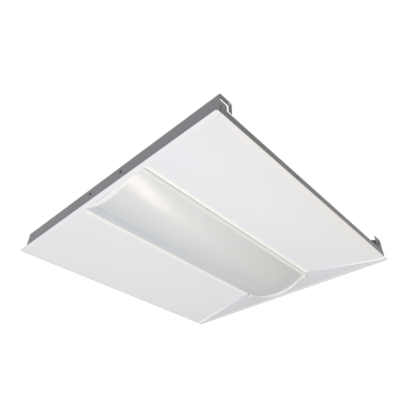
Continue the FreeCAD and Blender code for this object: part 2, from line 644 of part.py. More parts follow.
def tray_hardware():
    """Standoffs between tray and spine, the screws in them, and the board screws."""
    posts, screws = [], []
    for index, (x, y) in enumerate(TRAY_SPOTS):
        outer = hexagon(f"post_{index}", (x, y, TRAY_TOP), "standoff_radius",
                        f"{SPINE_UNDER} - {TRAY_TOP}")
        bore = rod(f"post_bore_{index}", (x, y, TRAY_TOP), "small_hole_radius",
                   f"{SPINE_UNDER} - {TRAY_TOP}")
        post = doc.addObject("Part::Cut", f"hollow_post_{index}")
        post.Base, post.Tool = outer, bore
        posts.append(post)
        screws.append(fastener(f"tray_screw_{index}", (x, y, "tray_height"), Vector(0, 0, -1),
                               f"{SPINE_UNDER} - tray_height - tray_screw_gap", "small"))
    keep(group("tray_standoffs", posts))
    keep(group("tray_screws", screws))
    pins = []
    for side in (-1, 1):
        for x, y in BOARD_SPOTS[side]:
            seat = (x, y, "tray_height - board_thickness")
            pins.append(fastener(f"board_screw_{len(pins)}", seat, Vector(0, 0, -1),
                                 "board_thickness + reflector_gauge + small_tail", "small"))
    keep(group("board_screws", pins))


def board_connectors():
    """Plugs on the back of the tray, one over each board."""
    pieces = []
    for side in (-1, 1):
        y = f"{side} * board_spacing / 2"
        low = [f"{LEAD_HOLE} - connector_length / 2", f"{y} - connector_width / 2", TRAY_TOP]
        high = [f"{LEAD_HOLE} + connector_length / 2", f"{y} + connector_width / 2",
                f"{TRAY_TOP} + connector_height"]
        pieces.append(box(f"connector_{side + 1}", low, high))
    return keep(group("board_connectors", pieces))


# ------------------------------------------------------------ driver box and cover

FOOT_REACH = f"({DRIVER_HALF} + driver_cap_length + driver_foot_length / 2)"
BOX_RIVET_SPOTS = [(f"{end} * (box_length / 2 - box_rivet_inset)", "0") for end in (-1, 1)]
DRIVER_SPOTS = [(f"driver_offset + {end} * {FOOT_REACH}", "0") for end in (-1, 1)]
COVER_SPOTS = [(f"{end} * (box_length / 2 - cover_screw_inset)", "0") for end in (-1, 1)]


def driver_box():
    """Folded box on the spine with a tab for each cover screw and a knockout in each end."""
    body = new_body("driver_box")
    outer = rectangle(body, "XY_Plane", ("-box_length / 2", "-box_width / 2"),
                      ("box_length / 2", "box_width / 2"), SPINE_TOP)
    pad(body, outer, "box_height")
    inner = rectangle(body, "XY_Plane", ("-box_length / 2 + plate_gauge", "-box_width / 2 + plate_gauge"),
                      ("box_length / 2 - plate_gauge", "box_width / 2 - plate_gauge"), BOX_TOP)
    pocket(body, inner, "box_height - plate_gauge")
    for end in (-1, 1):
        low, high = "-box_tab_width / 2", "box_tab_width / 2"
        inside = f"{end} * (box_length / 2 - plate_gauge - box_tab)"
        tab = rectangle(body, "XY_Plane", (inside, low), (f"{end} * (box_length / 2)", high), BOX_TOP)
        pad(body, tab, "plate_gauge", backwards=True)
        knockout = circles(body, "YZ_Plane", [("0", KNOCKOUT_Z)], "knockout_radius",
                           f"{end} * box_length / 2")
        pocket(body, knockout, "2 * plate_gauge + cut_margin", centred=True)
    pocket(body, circles(body, "XY_Plane", COVER_SPOTS, "screw_hole_radius", BOX_TOP), "plate_gauge")
    floor = BOX_FLOOR
    pocket(body, circles(body, "XY_Plane", BOX_RIVET_SPOTS, "small_hole_radius", floor), "plate_gauge")
    pocket(body, circles(body, "XY_Plane", DRIVER_SPOTS, "screw_hole_radius", floor), "plate_gauge")
    spots = [(LEAD_HOLE, "0")]
    pocket(body, circles(body, "XY_Plane", spots, "lead_hole_radius", floor), "plate_gauge")
    ground = [("box_length / 2 - ground_inset", "ground_side")]
    pocket(body, circles(body, "XY_Plane", ground, "screw_hole_radius", floor), "plate_gauge")
    return keep(body)


def driver_cover():
    """Lid with a lip down all four sides, outside the box."""
    body = new_body("driver_box_cover")
    half_x = "(box_length / 2 + cover_gap + plate_gauge)"
    half_y = "(box_width / 2 + cover_gap + plate_gauge)"
    outer = rectangle(body, "XY_Plane", (neg(half_x), neg(half_y)), (half_x, half_y), BOX_TOP)
    pad(body, outer, "plate_gauge")
    skirt = rectangle(body, "XY_Plane", (neg(half_x), neg(half_y)), (half_x, half_y), BOX_TOP)
    pad(body, skirt, "cover_lip", backwards=True)
    inner_x, inner_y = f"({half_x} - plate_gauge)", f"({half_y} - plate_gauge)"
    hollow = rectangle(body, "XY_Plane", (neg(inner_x), neg(inner_y)), (inner_x, inner_y),
                       f"{BOX_TOP} - cover_lip")
    pocket(body, hollow, "cover_lip", backwards=True)
    spots = circles(body, "XY_Plane", COVER_SPOTS, "screw_hole_radius", f"{BOX_TOP} + plate_gauge")
    pocket(body, spots, "plate_gauge")
    return keep(body)


def driver():
    """Power supply: can, two moulded end caps and a foot at each end."""
    case = new_body("driver_case")
    half, wide = DRIVER_HALF, "(driver_width / 2)"
    foot = f"({half} + driver_cap_length + driver_foot_length)"
    base = rectangle(case, "XY_Plane", (f"driver_offset - {foot}", neg(wide)),
                     (f"driver_offset + {foot}", wide), BOX_FLOOR)
    pad(case, base, "driver_foot_thickness")
    can = rectangle(case, "XY_Plane", (f"driver_offset - {half}", neg(wide)),
                    (f"driver_offset + {half}", wide), BOX_FLOOR)
    pad(case, can, "driver_height")
    top = f"{BOX_FLOOR} + driver_foot_thickness"
    pocket(case, circles(case, "XY_Plane", DRIVER_SPOTS, "screw_hole_radius", top),
           "driver_foot_thickness")
    keep(case)
    for label, end in (("driver_cap_output", -1), ("driver_cap_input", 1)):
        cap = new_body(label)
        near = f"driver_offset + {end} * {half}"
        far = f"driver_offset + {end} * ({half} + driver_cap_length)"
        low, high = ((near, neg(wide)), (far, wide)) if end > 0 else ((far, neg(wide)), (near, wide))
        pad(cap, rectangle(cap, "XY_Plane", low, high, top), "driver_height - driver_foot_thickness")
        keep(cap)


def knockout_slug():
    """Slug left in the unused knockout."""
    foot = ("-box_length / 2", "0", KNOCKOUT_Z)
    radius = "knockout_radius - knockout_slug_gap"
    item = rod("knockout_slug", foot, radius, "plate_gauge", Vector(1, 0, 0))
    item.Label = "knockout_slug"
    return keep(item)


def terminal_block():
    """Push-in block with an entry for each wire on the side of the power supply."""
    body = new_body("terminal_block")
    half = "(terminal_length / 2)"
    pad(body, rectangle(body, "XY_Plane", (f"{TERMINAL} - {half}", "-terminal_width / 2"),
                        (f"{TERMINAL} + {half}", "terminal_width / 2"), BOX_FLOOR), "terminal_height")
    spots = [(f"{step} * terminal_pitch", ENTRY_Z) for step in (-1, 0, 1)]
    entries = circles(body, "YZ_Plane", spots, "wire_radius + wire_entry_gap", f"{TERMINAL} - {half}")
    pocket(body, entries, "2 * wire_entry_depth", centred=True)
    return keep(body)


def lead_bushing():
    """Flanged sleeve that lines the hole the output leads go through."""
    body = new_body("lead_bushing")
    top = f"({BOX_FLOOR} + bushing_lip)"
    spot = [(LEAD_HOLE, "0")]
    lip = circles(body, "XY_Plane", spot, "lead_hole_radius + bushing_lip", BOX_FLOOR)
    pad(body, lip, "bushing_lip")
    sleeve = circles(body, "XY_Plane", spot, "lead_hole_radius - bushing_gap", top)
    pad(body, sleeve, "2 * plate_gauge + bushing_lip", backwards=True)
    bore = circles(body, "XY_Plane", spot, "lead_hole_radius - bushing_wall", top)
    pocket(body, bore, "4 * plate_gauge + 2 * bushing_lip")
    return keep(body)


def lead_tube(points, bend):
    """Eight-sided wire along straight runs joined by arcs of one bend radius."""
    edges, start = [], points[0]
    for index in range(1, len(points) - 1):
        corner = points[index]
        inward = (corner - points[index - 1]).normalize()
        outward = (points[index + 1] - corner).normalize()
        turn = inward.getAngle(outward)
        trim = bend * math.tan(turn / 2)
        enter, leave = corner - inward * trim, corner + outward * trim
        bisector = (outward - inward).normalize()
        middle = corner + bisector * (bend / math.cos(turn / 2) - bend)
        edges.append(Part.LineSegment(start, enter).toShape())
        edges.append(Part.Arc(enter, middle, leave).toShape())
        start = leave
    edges.append(Part.LineSegment(start, points[-1]).toShape())
    path = Part.Wire(edges)
    ahead = (points[1] - points[0]).normalize()
    across = ahead.cross(Vector(0, 0, 1)).normalize()
    above = across.cross(ahead)
    radius, ring = value("wire_radius"), []
    for step in range(9):
        angle = math.radians(45 * step + 22.5)
        ring.append(points[0] + across * radius * math.cos(angle) + above * radius * math.sin(angle))
    tube = path.makePipeShell([Part.makePolygon(ring)], True, True)
    expected = 2 * math.sqrt(2) * radius ** 2 * path.Length
    if abs(tube.Volume / expected - 1) > 0.03:
        raise ValueError("a lead's volume is off")
    return tube


def leads():
    """Input leads from the driver to the block, and output leads down to the boards."""
    edge = value(f"driver_offset + {DRIVER_HALF} + driver_cap_length")
    block = value(f"{TERMINAL} - terminal_length / 2 + wire_entry_depth - wire_entry_gap")
    height, entry, bend = value(WIRE_Z), value(ENTRY_Z), value("wire_bend")
    span, tubes = block - edge, []
    for step in (-1, 0, 1):
        y = step * value("terminal_pitch")
        points = [Vector(edge, y, height), Vector(edge + span * 0.35, y, height),
                  Vector(edge + span * 0.6, y, entry), Vector(block, y, entry)]
        tubes.append(lead_tube(points, bend))
    supply = doc.addObject("Part::Feature", "supply_leads")
    supply.Shape = Part.makeCompound(tubes)
    keep(supply)
    edge = value(f"driver_offset - {DRIVER_HALF} - driver_cap_length")
    hole, level = value(LEAD_HOLE), value(f"({TRAY_TOP} + {SPINE_UNDER}) / 2")
    reach = value("board_spacing / 2 - connector_width / 2")
    tubes = []
    for side in (-1, 1):
        y = side * value("lead_spacing") / 2
        points = [Vector(edge, y, height), Vector(hole, y, height),
                  Vector(hole, y, level), Vector(hole, side * reach, level)]
        tubes.append(lead_tube(points, bend))
    output = doc.addObject("Part::Feature", "led_leads")
    output.Shape = Part.makeCompound(tubes)
    keep(output)


# -------------------------------------------------------------------- fasteners

def fasteners():
    pieces = []
    for end in (-1, 1):
        for side in (-1, 1):
            seat = (f"{end} * {END_OUT}", f"{side} * end_screw_spacing / 2", "end_screw_height")
            pieces.append(fastener(f"end_screw_{len(pieces)}", seat, Vector(end, 0, 0), "screw_length"))
    keep(group("end_plate_screws", pieces))
    pieces = []
    for x, y in COVER_SPOTS:
        seat = (x, y, f"{BOX_TOP} + plate_gauge")
        pieces.append(fastener(f"cover_screw_{len(pieces)}", seat, Vector(0, 0, 1), "screw_length"))
    keep(group("cover_screws", pieces))
    pieces = []
    for x, y in DRIVER_SPOTS:
        seat = (x, y, f"{BOX_FLOOR} + driver_foot_thickness")
        pieces.append(fastener(f"driver_screw_{len(pieces)}", seat, Vector(0, 0, 1),
                               "driver_foot_thickness + plate_gauge"))
    keep(group("driver_screws", pieces))
    pieces = []
    for x, y in BOX_RIVET_SPOTS:
        number = len(pieces)
        dome = rod(f"rivet_dome_{number}", (x, y, BOX_FLOOR), "small_head_radius",
                   "small_head_height", tip="small_head_radius * 0.6")
        tail = rod(f"rivet_tail_{number}", (x, y, f"{SPINE_UNDER} - small_head_height"),
                   "small_shank_radius", f"{BOX_FLOOR} - {SPINE_UNDER} + 1.5 * small_head_height")
        pieces.append(fused(f"rivet_{number}", [dome, tail]))
    keep(group("box_rivets", pieces))
    seat = ("box_length / 2 - ground_inset", "ground_side", BOX_FLOOR)
    ground = fastener("ground_screw", seat, Vector(0, 0, 1), "plate_gauge")
    ground.Label = "ground_screw"
    keep(ground)


def build():
    for word, end in (("near", -1), ("far", 1)):
        end_plate(f"end_plate_{word}", end)
        end_reflector(f"end_reflector_{word}", end)
        lens_cap(f"lens_end_cap_{word}", end)
        for hand, side in (("right", -1), ("left", 1)):
            grid_clip(f"grid_clip_{word}_{hand}", end, side)
    for hand, side in (("right", -1), ("left", 1)):
        side_rail(f"side_rail_{hand}", side)
        side_panel(f"side_panel_{hand}", side)
        lens_rail(f"lens_rail_{hand}", side)
        led_board(f"led_board_{hand}", side)
        led_row(f"led_packages_{hand}", side)
    spine()
    lens()
    led_tray()
    tray_hardware()
    board_connectors()
    driver_box()
    driver_cover()
    driver()
    knockout_slug()
    terminal_block()
    lead_bushing()
    leads()
    fasteners()
    doc.recompute()


def check_and_write():
    """Every feature must be sound before anything is written."""
    for item in doc.Objects:
        if "Invalid" in item.State or "Error" in item.State:
            raise ValueError(f"{item.Label} failed: {item.State}")
    for item in nodes:
        if item.Shape.isNull() or not item.Shape.isValid():
            raise ValueError(f"{item.Label} has no sound shape")
    for item in nodes:
        item.Shape.exportStep(f"parts/{item.Label}.step")
        print(f"{item.Label}: {len(item.Shape.Solids)} solids, {item.Shape.Volume:.0f} mm3")
    print(f"{len(nodes)} nodes")


os.makedirs("parts", exist_ok=True)
build()
check_and_write()
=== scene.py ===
"""Dressed scene of a recessed ceiling troffer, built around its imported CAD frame.

Lengths are millimetres in the object's frame: X runs along the lens from the near end to the far
end, Y from the right wing to the left, and Z up from the underside of the rim.
"""

from __future__ import annotations

import json
import logging
import math
from dataclasses import dataclass, field, replace
from enum import Enum
from typing import ClassVar

import bmesh
import bpy
from mathutils import Euler, Matrix, Vector

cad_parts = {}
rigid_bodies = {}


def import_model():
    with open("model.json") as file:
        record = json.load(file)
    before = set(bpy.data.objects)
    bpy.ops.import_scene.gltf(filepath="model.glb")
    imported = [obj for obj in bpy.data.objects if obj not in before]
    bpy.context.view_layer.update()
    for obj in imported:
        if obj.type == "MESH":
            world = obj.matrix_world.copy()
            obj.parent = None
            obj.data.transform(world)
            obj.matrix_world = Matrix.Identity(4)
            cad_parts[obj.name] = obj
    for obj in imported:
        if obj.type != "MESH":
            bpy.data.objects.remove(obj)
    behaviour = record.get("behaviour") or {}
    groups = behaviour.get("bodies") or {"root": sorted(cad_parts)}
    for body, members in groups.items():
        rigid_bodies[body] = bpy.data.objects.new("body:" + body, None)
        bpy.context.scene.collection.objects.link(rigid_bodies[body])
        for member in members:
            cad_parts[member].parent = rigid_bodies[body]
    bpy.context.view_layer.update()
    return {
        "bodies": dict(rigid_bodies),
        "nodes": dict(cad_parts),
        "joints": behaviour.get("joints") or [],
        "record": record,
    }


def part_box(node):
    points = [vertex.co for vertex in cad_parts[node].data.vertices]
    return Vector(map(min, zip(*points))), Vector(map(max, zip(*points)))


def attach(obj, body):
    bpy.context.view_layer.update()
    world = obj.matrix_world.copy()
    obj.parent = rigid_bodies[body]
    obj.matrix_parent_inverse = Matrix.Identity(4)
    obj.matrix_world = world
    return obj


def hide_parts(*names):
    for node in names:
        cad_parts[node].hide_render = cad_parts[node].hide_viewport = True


LOG = logging.getLogger("troffer_scene")
MM = 0.001

Vec3 = tuple[float, float, float]
Profile = tuple[tuple[float, float], ...]


class Body(str, Enum):
    """Rigid bodies of the record that pieces ride on."""

    HOUSING = "housing"
    LENS = "lens_assembly"
    COVER = "wiring_cover"


class Slot(str, Enum):
    """Material slots of the record."""

    STEEL = "frame_steel"
    WHITE = "reflector_white"
    LENS = "lens_frosted"
    CAP = "cap_white"
    RAIL = "rail_white"
    BOARD = "board_white"
    LED = "led_phosphor"
    CONNECTOR = "connector_white"
    NYLON = "nylon"
    ZINC = "zinc"
    RIVET = "rivet"
    DRIVER = "driver_can"
    DRIVER_CAP = "driver_cap"
    TERMINAL = "terminal_grey"
    GROUND = "ground_green"
    LEAD = "lead_jacket"
    BUSHING = "bushing_black"


class Axis(Enum):
    """Object axes that a colour zone is measured along."""

    X = 0
    Y = 1


class Seed(Enum):
    """Seeds of the small turns in the rows."""

    LID_SCREWS = 5
    DRIVER_SCREWS = 7
    END_SCREWS = 11
    BOARD_SCREWS = 20
    TRAY_SCREWS = 31
    PACKAGES = 40
    RIVETS = 51


# -------------------------------------------------------------------- finishes


def srgb(code: str) -> tuple[float, float, float, float]:
    """Turn an sRGB hex colour into linear RGBA.

    Args:
        code: Six hex digits.

    Returns:
        Linear red, green, blue and an alpha of one.
    """
    channels = [int(code[i : i + 2], 16) / 255 for i in (0, 2, 4)]
    linear = [c / 12.92 if c <= 0.04045 else ((c + 0.055) / 1.055) ** 2.4 for c in channels]
    return (linear[0], linear[1], linear[2], 1.0)


@dataclass(frozen=True)
class Zone:
    """A stretch along one object axis that takes another colour.

    Attributes:
        axis: Axis that the stretch is measured along.
        low: Where it starts, in millimetres.
        high: Where it ends, in millimetres.
        colour: Its colour as sRGB hex.
        soft: Width of its fade at each end, in millimetres.
        mirrored: True where both sides of the middle have it.
        share: How much of the colour it takes.
    """

    axis: Axis
    low: float
    high: float
    colour: str
    soft: float = 0.5
    mirrored: bool = False
    share: float = 1.0


@dataclass(frozen=True)
class Finish:
    """One procedural surface finish.

    Attributes:
        name: Material name.
        colour: Base colour as sRGB hex.
        accent: Second colour that mottles the base.
        rough: Lowest and highest roughness.
        metallic: Metallic value of the shader.
        mottle_mm: Size of the mottling, coarser than the real one so that it shows.
        mottle: Share of the accent in the mottling.
        grain_mm: Size of the fine surface grain.
        grain: Strength of the grain's bump.
        grain_depth_mm: Depth of the grain.
        ior: Index of refraction.
        specular: Specular level of the shader.
        subsurface: Weight of scattering under the surface.
        stretch: Scale of the grain along each axis, for drawn or brushed surfaces.
        zones: Stretches that take another colour, in order.
    """

    name: str
    colour: str
    accent: str
    rough: tuple[float, float]
    metallic: float = 0.0
    mottle_mm: float = 60.0
    mottle: float = 0.5
    grain_mm: float = 0.8
    grain: float = 0.1
    grain_depth_mm: float = 0.02
    ior: float = 1.5
    specular: float = 0.5
    subsurface: float = 0.0
    stretch: Vec3 = (1.0, 1.0, 1.0)
    zones: tuple[Zone, ...] = ()


# Powder-coated sheet steel: a soft even sheen over a fine orange peel.
STEEL = Finish("grey_painted_steel", "7e7f81", "7a7b7d", (0.44, 0.56), mottle_mm=45.0, mottle=0.6,
               grain_mm=0.9, grain=0.12)
# Baked white enamel on smooth sheet: bright and even, with a broad satin reflection.
WHITE = Finish("white_enamel", "e9e9ea", "e4e5e6", (0.42, 0.55), mottle_mm=120.0, grain_mm=1.1,
               grain=0.08)

FINISHES: dict[Slot, Finish] = {
    Slot.STEEL: STEEL,
    Slot.WHITE: WHITE,
    # Extruded opal acrylic: milky, with a satin face and one long soft highlight. Painted shade makes
    # it greyer towards its left side, darker in a band near its left edge, greyer towards its far end
    # and darkest over its last stretch there; painted light makes it lighter within a few millimetres
    # of each cap. The rails stand behind its two edges and show through as a lighter, slightly green
    # band, which is partly painted light standing for the shading of the lens's curved flanks.
    Slot.LENS: Finish("opal_acrylic_light_and_shade", "d6d6d4", "d3d3d2", (0.25, 0.30), mottle_mm=150.0,
                      grain_mm=0.45, grain=0.08, ior=1.49, specular=0.65, subsurface=0.1,
                      zones=(Zone(Axis.Y, 10.0, 200.0, "bdc2c6", 60.0, share=0.9),
                             Zone(Axis.Y, 36.0, 54.0, "b2b8bc", 9.0, share=0.5),
                             Zone(Axis.X, 80.0, 400.0, "bebebc", 220.0, share=0.75),
                             Zone(Axis.X, 236.0, 400.0, "b4b4b4", 20.0, share=0.35),
                             Zone(Axis.X, 277.0, 400.0, "e4e4e3", 3.5, True, 0.8),
                             Zone(Axis.Y, 87.0, 120.0, "dedfdb", 1.0, True, 0.95),
                             Zone(Axis.Y, 91.6, 120.0, "dbdcd6", 0.7, True, 0.9))),
    # Moulded white plastic: the brightest piece of the face; painted shade makes its outer lip a little
    # greyer.
    Slot.CAP: Finish("moulded_white_lip_shade", "fafaf8", "f7f7f5", (0.38, 0.5), mottle_mm=40.0, grain_mm=0.6,
                     grain=0.10, subsurface=0.1,
                     zones=(Zone(Axis.X, 282.8, 300.0, "e6e6e7", 0.3, True),)),
    # Extruded white profile: faint lines drawn out along its length.
    Slot.RAIL: Finish("extruded_white", "e6e6e4", "dddddb", (0.36, 0.48), grain_mm=0.7, grain=0.08,
                      stretch=(0.05, 1.0, 1.0)),
    # White solder mask on a board: flat, smooth and a little shiny.
    Slot.BOARD: Finish("white_solder_mask", "e9eae6", "dfe0dc", (0.28, 0.4), mottle_mm=14.0,
                       grain_mm=0.5, grain=0.06),
    # Silicone gel with phosphor: warm yellow and nearly glossy.
    Slot.LED: Finish("phosphor_gel", "e9c355", "dcae3c", (0.22, 0.34), mottle_mm=1.5, grain_mm=0.2,
                     grain=0.1),
    # Moulded plug body: matt off-white.
    Slot.CONNECTOR: Finish("moulded_nylon", "e2dfd6", "d8d5cb", (0.4, 0.52), mottle_mm=5.0,
                           grain_mm=0.3),
    # Undyed nylon: yellowish and dull.
    Slot.NYLON: Finish("natural_nylon", "dcd9cf", "d0cdc2", (0.42, 0.55), mottle_mm=5.0, grain_mm=0.3),
    # Electroplated zinc: bright grey metal with small uneven glints.
    Slot.ZINC: Finish("bright_zinc", "b9bab8", "a6a7a6", (0.28, 0.42), metallic=1.0, mottle_mm=2.5,
                      grain_mm=0.25, grain=0.15),
    # Drawn aluminium: paler and cleaner than the zinc.
    Slot.RIVET: Finish("drawn_aluminium", "c4c5c6", "b4b5b6", (0.26, 0.38), metallic=1.0,
                       mottle_mm=2.5, grain_mm=0.25, grain=0.12),
    # Painted can of the supply: off-white with a coarse orange peel.
    Slot.DRIVER: Finish("white_can", "dededc", "d4d4d2", (0.36, 0.5), mottle_mm=30.0, grain_mm=0.9,
                        grain=0.12),
    # Spark-eroded black moulding: matt and grainy.
    Slot.DRIVER_CAP: Finish("black_moulding", "343437", "2b2b2e", (0.45, 0.6), mottle_mm=12.0,
                            grain_mm=0.4, grain=0.3),
    # Grey moulding of the terminal block: matt, a little grainy.
    Slot.TERMINAL: Finish("grey_moulding", "a9abac", "9fa1a2", (0.36, 0.5), mottle_mm=8.0,
                          grain_mm=0.35, grain=0.2),
    # Green passivated screw: coloured metal with a dull glint.
    Slot.GROUND: Finish("green_plate", "2f8048", "286f3e", (0.3, 0.42), metallic=0.6, mottle_mm=2.5,
                        grain_mm=0.25, grain=0.15),
    # Extruded soft jackets of three mains conductors side by side: black, white and green.
    Slot.LEAD: Finish("pvc_jackets", "303134", "27282b", (0.32, 0.44), mottle_mm=10.0, grain_mm=0.3,
                      zones=(Zone(Axis.Y, -4.0, 4.0, "e6e4dd", 0.1),
                             Zone(Axis.Y, 4.0, 20.0, "2f8048", 0.1))),
    # Snap-in nylon collar: plain black and matt.
    Slot.BUSHING: Finish("black_bushing", "2a2a2c", "222224", (0.42, 0.55), mottle_mm=5.0,
                         grain_mm=0.3),
}

# Painted light and shade on the wings' enamel: a painted warm reflection of the lens on the flat
# strip beside it, a painted highlight on the bead, painted shade towards the far end, a warmer
# tone towards the rim, and a painted highlight on the far mitre.
WING_LIGHT_AND_SHADE_ZONES = (Zone(Axis.X, 60.0, 400.0, "dadddf", 260.0, share=0.7),
              Zone(Axis.Y, 250.0, 400.0, "dfddda", 60.0, True, 0.8),
              Zone(Axis.X, 280.8, 400.0, "f4f5f5", 1.2, share=0.8),
              Zone(Axis.Y, 101.7, 107.4, "e5e4e1", 0.7, True),
              Zone(Axis.Y, 90.0, 101.5, "f7f7f3", 0.4, True))
# The same enamel as on the end pieces, seen flatter: painted light makes it a lighter lit copy, a cool, even
# white.
WING_LIT_WHITE = replace(WHITE, name="wing_enamel", colour="e0e3e5", accent="dcdfe2", zones=WING_LIGHT_AND_SHADE_ZONES)
# Painted shade: the left wing is a shaded copy of the right, a shade darker, and the painted highlight on its
# bead is dimmer.
WING_SHADED_WHITE = replace(WING_LIT_WHITE, name="wing_enamel_shaded", colour="dddfe1", accent="dadcde",
                     zones=(*WING_LIGHT_AND_SHADE_ZONES[:-1], Zone(Axis.Y, 90.0, 101.5, "ededeb", 0.4, True)))
# Enamel of the end pieces, a shaded copy of the white: painted shade makes the far folded lip a little warmer
# and darker, and painted light makes the near one cooler and lighter.
END_LIT_AND_SHADED_WHITE = replace(WHITE, name="end_enamel_lit_and_shaded", colour="dcdddf", accent="d9dadc",
                    zones=(Zone(Axis.X, 290.4, 310.0, "d5d4d2", 0.3),
                           Zone(Axis.X, -310.0, -290.4, "dfe1e3", 0.3)))
# Galvanised sheet without paint: a slightly shinier grey, made warmer and darker partly by painted shade for
# its sideways faces.
RAIL_STEEL_AND_SHADE = replace(STEEL, name="galvanised_steel_and_shade", colour="77746f", accent="716e6a",
                     rough=(0.38, 0.52))
# Painted end plates; their corner ears face sideways and take painted shade, darker and as warm as the rails
# there.
END_STEEL_EAR_SHADE = replace(STEEL, name="end_plate_steel_ear_shade",
                    zones=(Zone(Axis.Y, 299.2, 310.0, "6f6b65", 0.2, True),))
# Folding clips in painted shade: the rails' warm, darker grey, a shade darker still, for their sideways
# faces.
CLIP_SHADED_STEEL = replace(RAIL_STEEL_AND_SHADE, name="clip_shaded_steel", colour="6d6963", accent="66625d")
# Blackened screws: dark grey metal with a weak glint.
BLACK_SCREW = Finish("black_oxide", "505155", "47484c", (0.34, 0.5), metallic=0.4, mottle_mm=2.5,
                     grain_mm=0.25, grain=0.15)
# The same soft jackets, black beside red.
LED_LEADS = replace(FINISHES[Slot.LEAD], name="red_and_black_jackets",
                    zones=(Zone(Axis.Y, 0.0, 60.0, "a8282b", 0.1),))

NODE_FINISHES: dict[str, Finish] = {
    "side_panel_left": WING_SHADED_WHITE,
    "side_panel_right": WING_LIT_WHITE,
    "end_reflector_near": END_LIT_AND_SHADED_WHITE,
    "end_reflector_far": END_LIT_AND_SHADED_WHITE,
    "end_plate_near": END_STEEL_EAR_SHADE,
    "end_plate_far": END_STEEL_EAR_SHADE,
    "grid_clip_near_left": CLIP_SHADED_STEEL,
    "grid_clip_near_right": CLIP_SHADED_STEEL,
    "grid_clip_far_left": CLIP_SHADED_STEEL,
    "grid_clip_far_right": CLIP_SHADED_STEEL,
    "side_rail_left": RAIL_STEEL_AND_SHADE,
    "side_rail_right": RAIL_STEEL_AND_SHADE,
    "end_plate_screws": BLACK_SCREW,
    "led_leads": LED_LEADS,
}


